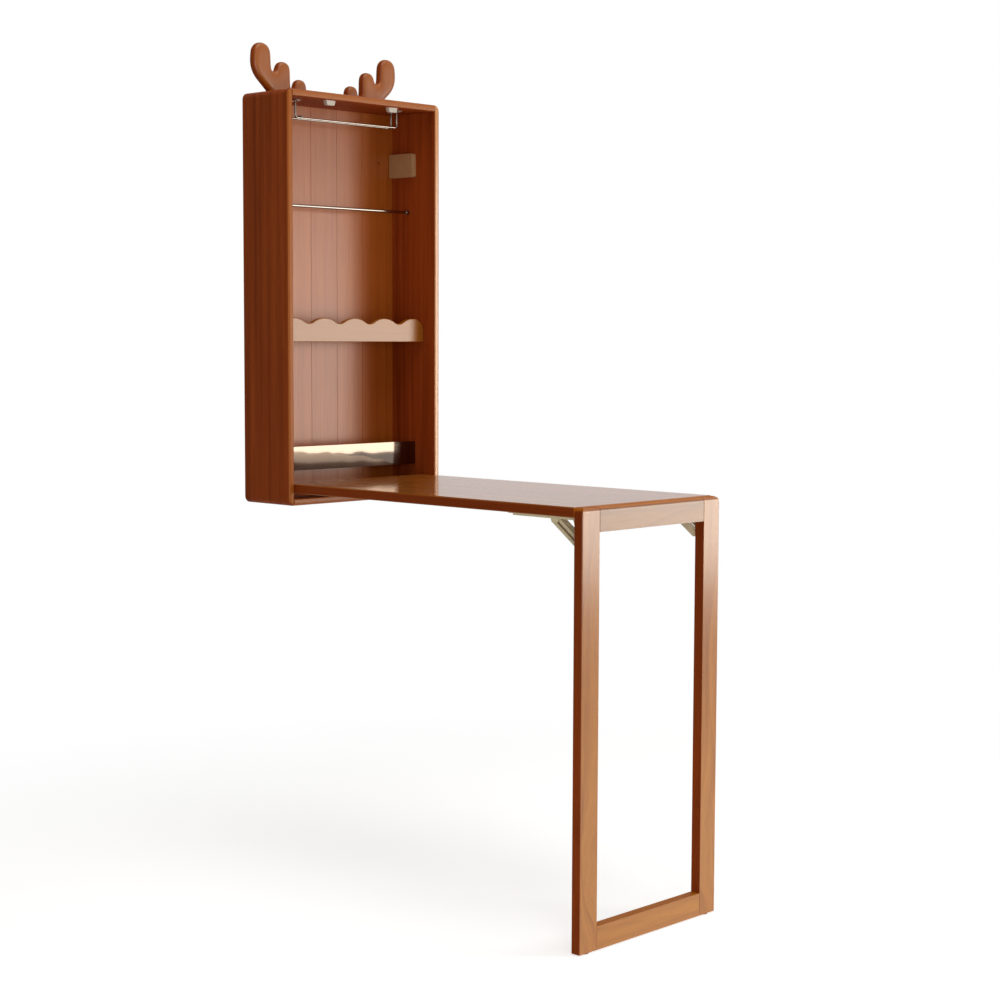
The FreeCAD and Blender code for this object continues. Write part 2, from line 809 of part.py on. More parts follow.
def catch_housing(side):
    """Magnetic catch: narrow below, wide at the ceiling, with two sunk screws."""
    body = new_body("catch_housing_" + side)
    top = size("catch_width") / 2
    foot = size("catch_foot_width") / 2
    high = size("catch_height")
    outline = [(-top, 0, 0), (-foot, -high, 0), (foot, -high, 0), (top, 0, 0)]
    pad(body, "XZ_Plane", rounded_outline(outline), "catch_depth")
    bind(body, x=SIDES[side] + " * catch_x", y="catch_front_y + catch_depth", z="ceiling_z")
    block(body, "Subtractive", "-magnet_length / 2 - fit_gap", "-(catch_depth + magnet_width) / 2 - fit_gap",
          "-catch_height", "magnet_length + 2 * fit_gap", "magnet_width + 2 * fit_gap", "magnet_thickness + fit_gap")
    for sign in ("-", ""):
        x = sign + "catch_screw_spacing / 2"
        drill(body, "-z", x, "-catch_depth / 2", "0", "screw_radius + fit_gap", "catch_height")
        drill(body, "-z", x, "-catch_depth / 2", "-catch_head_seat", "screw_head_radius + fit_gap", "catch_height")


def catch_magnets():
    parts = []
    for side, sign in SIDES.items():
        magnet = doc.addObject("Part::Box", "catch_magnet_" + side)
        bind(magnet, Length="magnet_length", Width="magnet_width", Height="magnet_thickness",
             x=sign + " * catch_x - magnet_length / 2", y="catch_middle_y - magnet_width / 2", z="catch_bottom_z")
        parts.append(magnet)
    group("catch_magnets", parts)


def catch_screws():
    placed = []
    for side in SIDES:
        for x in catch_screw_xs(side):
            placed.append(("+z", x, "catch_middle_y", "ceiling_z - catch_head_seat"))
    screws("catch_screws", placed)


def rack_wire(label, y):
    """One bent wire of the rack: a long run with a post up to a plate at each end."""
    body = new_body(label)
    end = size("rack_end_x")
    bend = size("rack_bend_radius")
    high = size("rack_drop") - size("rack_plate_thickness")
    slant = bend * math.sqrt(0.5)
    left = [Part.LineSegment(point(-end, high), point(-end, bend)),
            Part.Arc(point(-end, bend), point(-end + bend - slant, bend - slant), point(-end + bend, 0))]
    run = [Part.LineSegment(point(-end + bend, 0), point(end - bend, 0))]
    right = [Part.Arc(point(end - bend, 0), point(end - bend + slant, bend - slant), point(end, bend)),
             Part.LineSegment(point(end, bend), point(end, high))]
    path = sketch(body, "XZ_Plane", left + run + right)
    ring = sketch(body, "XY_Plane", [Part.Circle(point(0, 0), FreeCAD.Vector(0, 0, 1), size("rack_wire_radius"))])
    ring.setExpression("AttachmentOffset.Base.x", formula("-rack_end_x"))
    ring.setExpression("AttachmentOffset.Base.z", formula("rack_drop - rack_plate_thickness"))
    doc.recompute()
    pipe = feature(body, "AdditivePipe", "wire")
    pipe.Profile = ring
    pipe.Spine = (path, ["Edge%d" % number for number in range(1, 6)])
    bind(body, y=y, z="rack_wire_z")


def rack_end_stop():
    """Cross pin welded on both wires, which stops the glass feet at the left end."""
    bars("rack_end_stop", "+y", [("-rack_end_x + rack_bend_radius + rack_stop_inset",
                                  "-rack_from_wall - rack_wire_spacing / 2 - rack_wire_radius",
                                  "rack_wire_z + rack_wire_radius + rack_stop_radius")],
         "rack_stop_radius", "rack_wire_spacing + 2 * rack_wire_radius")


def rack_plate(side):
    """Ceiling plate that carries one end of both wires."""
    body = new_body("rack_plate_" + side)
    middle = SIDES[side] + " * rack_end_x"
    block(body, "Additive", middle + " - rack_plate_width / 2", "-rack_from_wall - rack_plate_depth / 2",
          "rack_plate_z", "rack_plate_width", "rack_plate_depth", "rack_plate_thickness")
    for y in rack_screw_ys():
        drill(body, "+z", middle, y, "rack_plate_z", "screw_radius + fit_gap", "rack_plate_thickness")


def rack_screws():
    placed = []
    for sign in SIDES.values():
        for y in rack_screw_ys():
            placed.append(("+z", sign + " * rack_end_x", y, "rack_plate_z"))
    screws("rack_screws", placed)


def hinge_bush(side):
    """Bush in the side panel, in which the table's hinge pin turns."""
    body = new_body("hinge_bush_" + side)
    outward = "-x" if side == "left" else "+x"
    wall = SIDES[side] + " * inside_x"
    cylinder(body, "Additive", outward, wall, "pivot_y", "pivot_z", "bush_radius", "bush_length")
    drill(body, outward, wall, "pivot_y", "pivot_z", "hinge_pin_radius + running_gap", "bush_length")


# Table
def table_board():
    """Board with holes for its hinge pins, rail screws and strike plates."""
    body = new_body("table_board")
    block(body, "Additive", "-board_half_width", "board_far_y", "board_bottom_z", "2 * board_half_width",
          "board_inner_y - board_far_y", "board_thickness")
    far = size("board_far_y")
    round_edges(body, "board_edge_radius",
                lambda low: flat(low.ZMin, low.ZMax) and not (near(low.YMin, far) and near(low.YMax, far)))
    for side, sign in SIDES.items():
        inward = "+x" if side == "left" else "-x"
        drill(body, inward, sign + " * board_half_width", "pivot_y", "pivot_z", "hinge_pin_radius + fit_gap",
              "hinge_pin_in_board + fit_gap")
        for y in table_rail_screw_ys():
            pilot(body, "+z", flange_x(side, "table_web_x"), y, "board_bottom_z", "sheet_thickness")
        block(body, "Subtractive", sign + " * catch_x - strike_length / 2 - fit_gap", "board_far_y",
              "strike_middle_z - strike_width / 2 - fit_gap", "strike_length + 2 * fit_gap",
              "strike_thickness", "strike_width + 2 * fit_gap")
        pilot(body, "+y", sign + " * catch_x", "board_far_y + strike_thickness", "strike_middle_z", "0")


def hinge_pin(side):
    body = new_body("hinge_pin_" + side)
    outward = "-x" if side == "left" else "+x"
    cylinder(body, "Additive", outward, SIDES[side] + " * (board_half_width - hinge_pin_in_board)",
             "pivot_y", "pivot_z", "hinge_pin_radius", "hinge_pin_in_board + board_side_gap + bush_length - fit_gap")


def strike_plate(side):
    """Steel plate let into the board's end, with a sunk screw hole."""
    body = new_body("strike_plate_" + side)
    middle = SIDES[side] + " * catch_x"
    block(body, "Additive", middle + " - strike_length / 2", "board_far_y",
          "strike_middle_z - strike_width / 2", "strike_length", "strike_thickness", "strike_width")
    hole = feature(body, "SubtractiveCone", "seat")
    hole.Placement = turned("+y")
    bind(hole, Radius1="flat_head_radius + fit_gap", Radius2="screw_radius + fit_gap",
         Height="strike_thickness", x=middle, y="board_far_y", z="strike_middle_z")


def strike_screws():
    parts = []
    for side, sign in SIDES.items():
        middle = sign + " * catch_x"
        head = doc.addObject("Part::Cone", "strike_screw_head_" + side)
        head.Placement = turned("+y")
        bind(head, Radius1="flat_head_radius", Radius2="screw_radius", Height="strike_thickness",
             x=middle, y="board_far_y", z="strike_middle_z")
        shank = bar("strike_screw_shank_" + side, "+y", middle, "board_far_y + strike_thickness",
                    "strike_middle_z", "screw_radius", "screw_length")
        whole = doc.addObject("Part::Fuse", "strike_screw_" + side)
        whole.Base = head
        whole.Tool = shank
        parts.append(whole)
    group("strike_screws", parts)


def web_outline(length, reach, second):
    """Side view of a bracket web along +across, with a lug at its pivot and at its second pin."""
    half = size("lug_half_width")
    below = size("lug_below_pivot")
    slope = size("lug_slope")
    corner = size("lug_corner_radius")
    low = reach - size("web_height")
    outline = [(-half, reach, 0), (-half, -below, corner), (half, -below, corner), (half + slope, low, 0)]
    outline += [(second - half - slope, low, 0), (second - half, -below, corner)]
    outline += [(second + half, -below, corner), (second + half + slope, low, 0)]
    outline += [(length - half, low, 0), (length - half, reach, 0)]
    return outline


def bracket_rail(side, kind):
    """Angle rail of a folding bracket, on the board or on the leg."""
    body = new_body("%s_rail_%s" % (kind, side))
    web = kind + "_web_x"
    length = size(kind + "_rail_length")
    second = size("brace_reach" if kind == "table" else "brace_drop")
    outline = web_outline(length, size("pivot_offset"), second)
    if kind == "leg":
        outline = [(-up, -along, radius) for along, up, radius in outline]
    pad(body, "YZ_Plane", rounded_outline(outline), "sheet_thickness")
    bind(body, x=body_low_x(side, web), y="fold_y", z="fold_z")
    flange_low = "sheet_thickness - flange_width" if side == "left" else "0"
    if kind == "table":
        block(body, "Additive", flange_low, "-lug_half_width", "pivot_offset - sheet_thickness", "flange_width",
              "table_rail_length", "sheet_thickness")
    else:
        block(body, "Additive", flange_low, "-pivot_offset", "lug_half_width - leg_rail_length", "flange_width",
              "sheet_thickness", "leg_rail_length")
    return body


def table_rail(side):
    body = bracket_rail(side, "table")
    drill(body, "+x", "0", "0", "0", "pin_radius + fit_gap", "sheet_thickness")
    drill(body, "+x", "0", "brace_reach", "0", "pin_radius + fit_gap", "sheet_thickness")
    for y in table_rail_screw_ys():
        drill(body, "+z", "(%s) - (%s)" % (flange_x(side, "table_web_x"), body_low_x(side, "table_web_x")),
              "(%s) - fold_y" % y, "pivot_offset - sheet_thickness", "screw_radius + fit_gap", "sheet_thickness")


def leg_rail(side):
    body = bracket_rail(side, "leg")
    drill(body, "+x", "0", "0", "0", "pin_radius + running_gap", "sheet_thickness")
    drill(body, "+x", "0", "0", "-brace_drop", "pin_radius + fit_gap", "sheet_thickness")
    for z in leg_rail_screw_zs():
        drill(body, "-y", "(%s) - (%s)" % (flange_x(side, "leg_web_x"), body_low_x(side, "leg_web_x")),
              "sheet_thickness - pivot_offset", "(%s) - fold_z" % z, "screw_radius + fit_gap", "sheet_thickness")


def table_rail_screws():
    placed = []
    for side in SIDES:
        for y in table_rail_screw_ys():
            placed.append(("+z", flange_x(side, "table_web_x"), y, "board_bottom_z - sheet_thickness"))
    screws("table_rail_screws", placed)


def leg_rail_screws():
    placed = []
    for side in SIDES:
        for z in leg_rail_screw_zs():
            placed.append(("-y", flange_x(side, "leg_web_x"), "leg_back_y + sheet_thickness", z))
    screws("leg_rail_screws", placed)


def headed_pin(name, side, y, z, outer_x, inner_x, heads):
    """A pin across a bracket from its outer to its inner end, with its heads."""
    sign = SIDES[side]
    inward = "+x" if side == "left" else "-x"
    start = "%s * (%s)" % (sign, outer_x)
    shank = bar(name + "_shank", inward, start, y, z, "pin_radius", "(%s) - (%s)" % (outer_x, inner_x))
    parts = [shank]
    if "outer" in heads:
        low = "%s * (%s + pin_head_thickness)" % (sign, outer_x)
        parts.append(bar(name + "_outer_head", inward, low, y, z, "pin_head_radius", "pin_head_thickness"))
    if "inner" in heads:
        low = "%s * (%s)" % (sign, inner_x)
        parts.append(bar(name + "_inner_head", inward, low, y, z, "pin_head_radius", "pin_head_thickness"))
    whole = doc.addObject("Part::MultiFuse", name)
    whole.Shapes = parts
    return whole


def fold_pins():
    """Rivets on which the leg rails turn, fixed in the table rails."""
    parts = []
    for side in SIDES:
        parts.append(headed_pin("fold_pin_" + side, side, "fold_y", "fold_z", "table_web_x",
                                "leg_web_x - sheet_thickness - bracket_side_gap / 2", ("outer", "inner")))
    group("fold_pins", parts)


def slot_pins():
    """Flush studs on the table rails that end just short of the slotted straps."""
    parts = []
    for side, sign in SIDES.items():
        inward = "+x" if side == "left" else "-x"
        parts.append(bar("slot_pin_" + side, inward, sign + " * table_web_x", "fold_y + brace_reach", "fold_z",
                         "pin_radius", "table_web_x - strap_x - bracket_side_gap / 2"))
    group("slot_pins", parts)


def strap_rivets():
    """Rivets on the leg rails on which the straps turn; flush on their outer side."""
    parts = []
    for side in SIDES:
        parts.append(headed_pin("strap_rivet_" + side, side, "fold_y", "fold_z - brace_drop", "leg_web_x",
                                "strap_x - strap_depth - bracket_side_gap / 2", ("inner",)))
    group("strap_rivets", parts)


def strap(side):
    """Channel with a slot in its outer wall, drawn along +Y from its rivet and then leaned up to the stud."""
    body = new_body("strap_" + side)
    half = size("strap_half_width")
    length = size("strap_length")
    ends = [point(0, half), point(length, half), point(length, -half), point(0, -half)]
    outline = [Part.LineSegment(ends[0], ends[1]), Part.Arc(ends[1], point(length + half, 0), ends[2]),
               Part.LineSegment(ends[2], ends[3]), Part.Arc(ends[3], point(-half, 0), ends[0])]
    pad(body, "YZ_Plane", outline, "strap_depth")
    block(body, "Subtractive", "sheet_thickness", "-strap_half_width", "sheet_thickness - strap_half_width",
          "strap_depth - 2 * sheet_thickness", "strap_length + 2 * strap_half_width", "2 * strap_half_width")
    drill(body, "+x", "0", "0", "0", "pin_radius + running_gap", "strap_depth")
    wall = "0" if side == "left" else "strap_depth - sheet_thickness"
    drill(body, "+x", wall, "slot_start", "0", "slot_half_width", "sheet_thickness")
    drill(body, "+x", wall, "strap_length", "0", "slot_half_width", "sheet_thickness")
    block(body, "Subtractive", wall, "slot_start", "-slot_half_width", "sheet_thickness",
          "strap_length - slot_start", "2 * slot_half_width")
    body.Placement = FreeCAD.Placement(FreeCAD.Vector(), FreeCAD.Rotation(FreeCAD.Vector(1, 0, 0), 1))
    low_x = "-strap_x" if side == "left" else "strap_x - strap_depth"
    bind(body, x=low_x, y="fold_y", z="fold_z - brace_drop")
    body.setExpression("Placement.Rotation.Angle", formula("atan(brace_drop / brace_reach)"))


# Leg frame
def leg_stile(side):
    """Full-height stile; its top is rounded to the front and outwards, and it stands on a glide."""
    body = new_body("leg_stile_" + side)
    low_x = "-board_half_width" if side == "left" else "stile_inner_x"
    block(body, "Additive", low_x, "leg_back_y - leg_thickness", "stile_bottom_z", "stile_width",
          "leg_thickness", "board_top_z - stile_bottom_z")
    round_leg_top(body)
    outer = float(SIDES[side]) * size("board_half_width")
    round_edges(body, "leg_edge_radius",
                lambda low: near(low.XMin, outer) and near(low.XMax, outer) and flat(low.YMin, low.YMax))
    ease_joint(body, float(SIDES[side]) * size("stile_inner_x"))
    cut_round(body, "XZ_Plane", (outer, size("board_top_z")), (float(SIDES[side]), 1), "leg_corner_radius",
              "leg_thickness - leg_back_y", "leg_thickness")
    outward = "-x" if side == "left" else "+x"
    for z in leg_dowel_zs():
        drill(body, outward, SIDES[side] + " * stile_inner_x", "leg_back_y - leg_thickness / 2", z,
              "leg_dowel_radius + fit_gap", "leg_dowel_length / 2 + fit_gap")
    for z in leg_rail_screw_zs():
        pilot(body, "-y", flange_x(side, "leg_web_x"), "leg_back_y", z, "sheet_thickness")


def round_leg_top(body):
    top = size("board_top_z")
    front = size("leg_back_y") - size("leg_thickness")
    round_edges(body, "leg_top_radius", lambda low: near(low.ZMin, top) and near(low.ZMax, top)
                and near(low.YMin, front) and near(low.YMax, front))


def ease_joint(body, x):
    """Ease the upright front edge at a joint, so that the joint shows as a fine line."""
    front = size("leg_back_y") - size("leg_thickness")
    round_edges(body, "joint_edge_radius", lambda low: near(low.XMin, x) and near(low.XMax, x)
                and near(low.YMin, front) and near(low.YMax, front))


def leg_dowel_zs():
    zs = []
    for middle in ("board_top_z - leg_rail_height / 2", "stile_bottom_z + leg_foot_rail_height / 2"):
        zs.append(middle + " - leg_dowel_spacing / 2")
        zs.append(middle + " + leg_dowel_spacing / 2")
    return zs


def leg_cross_rail(label, low_z, height, dowel_zs):
    body = new_body(label)
    block(body, "Additive", "-stile_inner_x", "leg_back_y - leg_thickness", low_z, "2 * stile_inner_x",
          "leg_thickness", height)
    if label == "leg_top_rail":
        round_leg_top(body)
    for sign in (-1, 1):
        ease_joint(body, sign * size("stile_inner_x"))
    for z in dowel_zs:
        for direction, x in (("+x", "-stile_inner_x"), ("-x", "stile_inner_x")):
            drill(body, direction, x, "leg_back_y - leg_thickness / 2", z, "leg_dowel_radius + fit_gap",
                  "leg_dowel_length / 2 + fit_gap")


def leg_rails():
    zs = leg_dowel_zs()
    leg_cross_rail("leg_top_rail", "board_top_z - leg_rail_height", "leg_rail_height", zs[:2])
    leg_cross_rail("leg_bottom_rail", "stile_bottom_z", "leg_foot_rail_height", zs[2:])


def leg_dowels():
    spots = []
    for start in ("-stile_inner_x - leg_dowel_length / 2", "stile_inner_x - leg_dowel_length / 2"):
        for z in leg_dowel_zs():
            spots.append((start, "leg_back_y - leg_thickness / 2", z))
    bars("leg_dowels", "+x", spots, "leg_dowel_radius", "leg_dowel_length")


def foot_glides():
    spots = []
    for sign in SIDES.values():
        spots.append((sign + " * (board_half_width - stile_width / 2)", "leg_back_y - leg_thickness / 2", "floor_z"))
    bars("foot_glides", "+z", spots, "glide_radius", "glide_thickness")


def build_cabinet():
    for side in SIDES:
        side_panel(side)
        antler(side)
        rod_cup(side)
        catch_housing(side)
        rack_plate(side)
        hinge_bush(side)
    top_panel()
    bottom_panel()
    back_panel()
    for label in SIDE_DOWELS:
        side_dowels(label)
    antler_dowels()
    middle_shelf()
    wave_lip()
    lip_dowels()
    bottle_shelf()
    bottle_guard()
    guard_screws()
    hanging_rod()
    socket_housing()
    socket_cover()
    socket_screws()
    catch_magnets()
    catch_screws()
    rack_wire("rack_wire_front", "-rack_from_wall - rack_wire_spacing / 2")
    rack_wire("rack_wire_rear", "-rack_from_wall + rack_wire_spacing / 2")
    rack_end_stop()
    rack_screws()


def build_table():
    table_board()
    for side in SIDES:
        hinge_pin(side)
        strike_plate(side)
        table_rail(side)
    strike_screws()
    table_rail_screws()
    fold_pins()
    slot_pins()


def build_leg():
    for side in SIDES:
        leg_stile(side)
        leg_rail(side)
        strap(side)
    leg_rails()
    leg_dowels()
    foot_glides()
    leg_rail_screws()
    strap_rivets()


def check_document():
    """Stop if anything in the document failed or came out empty or invalid."""
    doc.recompute()
    for item in doc.Objects:
        if "Invalid" in item.State or "Error" in item.State:
            raise RuntimeError("%s is not built: %s" % (item.Label, item.State))
    for part in nodes:
        if part.Shape.isNull() or not part.Shape.isValid() or not part.Shape.Solids:
            raise RuntimeError("%s has no valid solid" % part.Label)


def write_parts():
    os.makedirs("parts", exist_ok=True)
    for part in nodes:
        part.Shape.exportStep("parts/%s.step" % part.Label)
        print("%-22s solids %2d  volume %12.1f" % (part.Label, len(part.Shape.Solids), part.Shape.Volume))
    print("nodes", len(nodes))


fill_document()
build_cabinet()
build_table()
build_leg()
check_document()
write_parts()
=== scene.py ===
import math

import bmesh
import bpy
from mathutils import Matrix, Vector


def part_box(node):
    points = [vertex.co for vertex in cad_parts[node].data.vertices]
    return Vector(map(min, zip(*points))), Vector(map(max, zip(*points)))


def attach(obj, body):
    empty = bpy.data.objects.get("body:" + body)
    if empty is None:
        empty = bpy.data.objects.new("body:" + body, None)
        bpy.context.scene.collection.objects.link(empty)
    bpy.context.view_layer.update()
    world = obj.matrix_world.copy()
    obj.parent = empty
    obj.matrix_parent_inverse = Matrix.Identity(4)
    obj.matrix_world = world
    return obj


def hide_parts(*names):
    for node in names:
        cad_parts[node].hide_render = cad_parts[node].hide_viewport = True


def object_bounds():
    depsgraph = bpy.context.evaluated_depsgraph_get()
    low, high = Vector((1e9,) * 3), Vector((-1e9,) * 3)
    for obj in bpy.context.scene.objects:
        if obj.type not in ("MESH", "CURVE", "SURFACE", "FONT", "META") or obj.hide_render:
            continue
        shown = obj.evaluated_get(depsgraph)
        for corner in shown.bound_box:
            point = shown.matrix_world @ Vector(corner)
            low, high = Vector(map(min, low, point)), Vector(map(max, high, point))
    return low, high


# A wall cabinet of lacquered cherry whose front closes with a folding bar table.
# X runs along the wall, Y points into the wall and Z up, in metres.

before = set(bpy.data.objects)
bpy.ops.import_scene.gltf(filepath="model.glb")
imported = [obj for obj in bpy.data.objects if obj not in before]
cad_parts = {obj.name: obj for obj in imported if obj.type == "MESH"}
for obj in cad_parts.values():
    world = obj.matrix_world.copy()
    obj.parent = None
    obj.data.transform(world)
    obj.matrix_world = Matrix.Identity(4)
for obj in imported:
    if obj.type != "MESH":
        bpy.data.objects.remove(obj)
cad_low, cad_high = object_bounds()

MM = 0.001
MERGE_DISTANCE = 0.001 * MM
FLOOR_Z = cad_low.z

# Camera, from the edges of the object in the 1000 x 1000 photograph
PHOTO_PX = 1000
SENSOR_MM = 36
FOCAL_PX = 1991.5
CAMERA_YAW = 46.340
CAMERA_DOWN = 4.759
CAMERA_ROLL = 0.206
CAMERA_PLACE = (-3.5772, -4.0805, FLOOR_Z + 1.4099)
CAMERA_REACH = 200

# Light: the key stands where the fronts mirror it to the camera, which gives the lacquer its haze
SKY_STRENGTH = 0.15
KEY = {"place": (3.15, -3.85, -0.2), "target": (0.0, -0.5, -0.2), "size": (2.6, 1.9), "power": 104}
FILL = {"place": (-3.1, -4.4, -0.2), "target": (0.0, -0.6, -0.5), "size": (2.0, 2.0), "power": 62}
TOP = {"place": (-0.3, -1.4, 3.0), "target": (0.0, -0.9, -0.5), "size": (3.0, 3.0), "power": 62}
LIGHT_COLOUR = (1.0, 0.98, 0.875)

# Floor: matt and lifted a little near the middle, plain white from the second distance on
FLOOR_SIZE = 60
FLOOR_MIDDLE = (0, -0.9, 0)
FLOOR_FADE = (1.0, 2.8)
FLOOR_LIFT = 0.6
FLOOR_COLOUR = "eeeff4"

# Screws: domed head with a cross recess, and how finely they are cut
SCREW_SIZES = {"Head Radius": 3.2 * MM, "Head Height": 1.8 * MM, "Recess Width": 0.9 * MM,
               "Recess Length": 3.6 * MM, "Recess Depth": 1.1 * MM, "Shank Radius": 1.6 * MM,
               "Shank Length": 12 * MM}
HEAD_SEGMENTS = 48
HEAD_RINGS = 40
SHANK_SIDES = 20
# A CAD screw's points farther out than this share of its head's radius are the head's rim
RIM_SHARE = 0.95

# Range that most of a noise lies in
NOISE_LOW = 0.3
NOISE_HIGH = 0.7

# Grain, across the two short ways and along the long one: slow bends, eddies by a knot, fibres
TREE_MM = 1700
BEND_MM = 14
BEND_SCALE = (1 / 90, 1 / 90, 1 / 900)
EDDY_SCALE = (1 / 60, 1 / 60, 1 / 110)
FIBRE_SCALE = (1 / 1.6, 1 / 1.6, 1 / 70)
STREAK_LENGTH_MM = 900
PITH_BEND_MM = 1400
# The dark late wood is a thin line at the end of each ring
LATE_WOOD_POWER = 5.0
MIDDLE_TONE = 0.55
FLECK_LOW = 0.35
FLECK_HIGH = 0.65

# Surface of the wood: pores duller than the fibres, almost no shine of its own under the hard lacquer
PORE_ROUGHNESS = 0.51
FIBRE_ROUGHNESS = 0.39
GRAIN_BUMP = 0.35
GRAIN_MM = 0.05
LATE_WOOD_SINK = -0.5
BARE_WOOD_SHINE = 0.03
COAT_IOR = 1.6
# A rounded arris begins to belong to a face at this share of its normal, and belongs to it wholly when
# that much of the rest is reached
EDGE_TURN = 0.35
FACING_SHARE = 0.77

# Metal and plastic skins
METAL_ROUGH_SHARES = (0.75, 1.3)
METAL_BUMP = 0.3
RIPPLE_SLANT = 0.3
SCRATCH_SCALE = (0.02, 1.0, 1.5)
POLISHED_ROUGHNESS = (0.05, 0.12)
CLOUD_SCALE = 0.03
SKIN_ROUGH_SPREAD = 0.05
SKIN_BUMP = 0.4
PLASTIC_IOR = 1.5

# Antlers: size of the even faces, rounds of sanding and their strength, and the foot that stays flat
SAND_FACE = 1.5 * MM
SAND_ROUNDS = 110
SAND_STRENGTH = 0.5
SAND_FOOT = 3 * MM


def srgb(text):
    """An sRGB hex colour as linear red, green, blue and alpha."""
    values = [int(text[i:i + 2], 16) / 255 for i in (0, 2, 4)]
    return [v / 12.92 if v <= 0.04045 else ((v + 0.055) / 1.055) ** 2.4 for v in values] + [1.0]


def add(tree, kind, inputs=None, **settings):
    """Add one node. An input takes a value, a socket, a node whose first output is meant, or a list of these."""
    made = tree.nodes.new(kind)
    for name, value in settings.items():
        setattr(made, name, value)
    for key, value in (inputs or {}).items():
        for one in value if isinstance(value, list) and not isinstance(value[0], float) else [value]:
            if isinstance(one, bpy.types.Node):
                one = one.outputs[0]
            if isinstance(one, bpy.types.NodeSocket):
                tree.links.new(one, made.inputs[key])
            else:
                made.inputs[key].default_value = one
    return made


def new_material(name):
    material = bpy.data.materials.new(name)
    material.use_nodes = True
    material.node_tree.nodes.clear()
    return material, material.node_tree


def finish_material(tree, shader):
    add(tree, "ShaderNodeOutputMaterial", {"Surface": shader})


def millimetres(tree):
    """The point's place on the object, in millimetres."""
    place = add(tree, "ShaderNodeTexCoord").outputs["Object"]
    return add(tree, "ShaderNodeVectorMath", {0: place, 3: 1 / MM}, operation="SCALE")


def facing(tree, axis, least):
    """1 where the surface faces along an axis of the object, down to 0 where least of its normal does."""
    normal = add(tree, "ShaderNodeSeparateXYZ", {0: add(tree, "ShaderNodeTexCoord").outputs["Normal"]})
    size = add(tree, "ShaderNodeMath", {0: normal.outputs[axis]}, operation="ABSOLUTE")
    return add(tree, "ShaderNodeMapRange", {"Value": size, "From Min": least,
                                            "From Max": least + FACING_SHARE * (1 - least)},
               interpolation_type="SMOOTHSTEP")


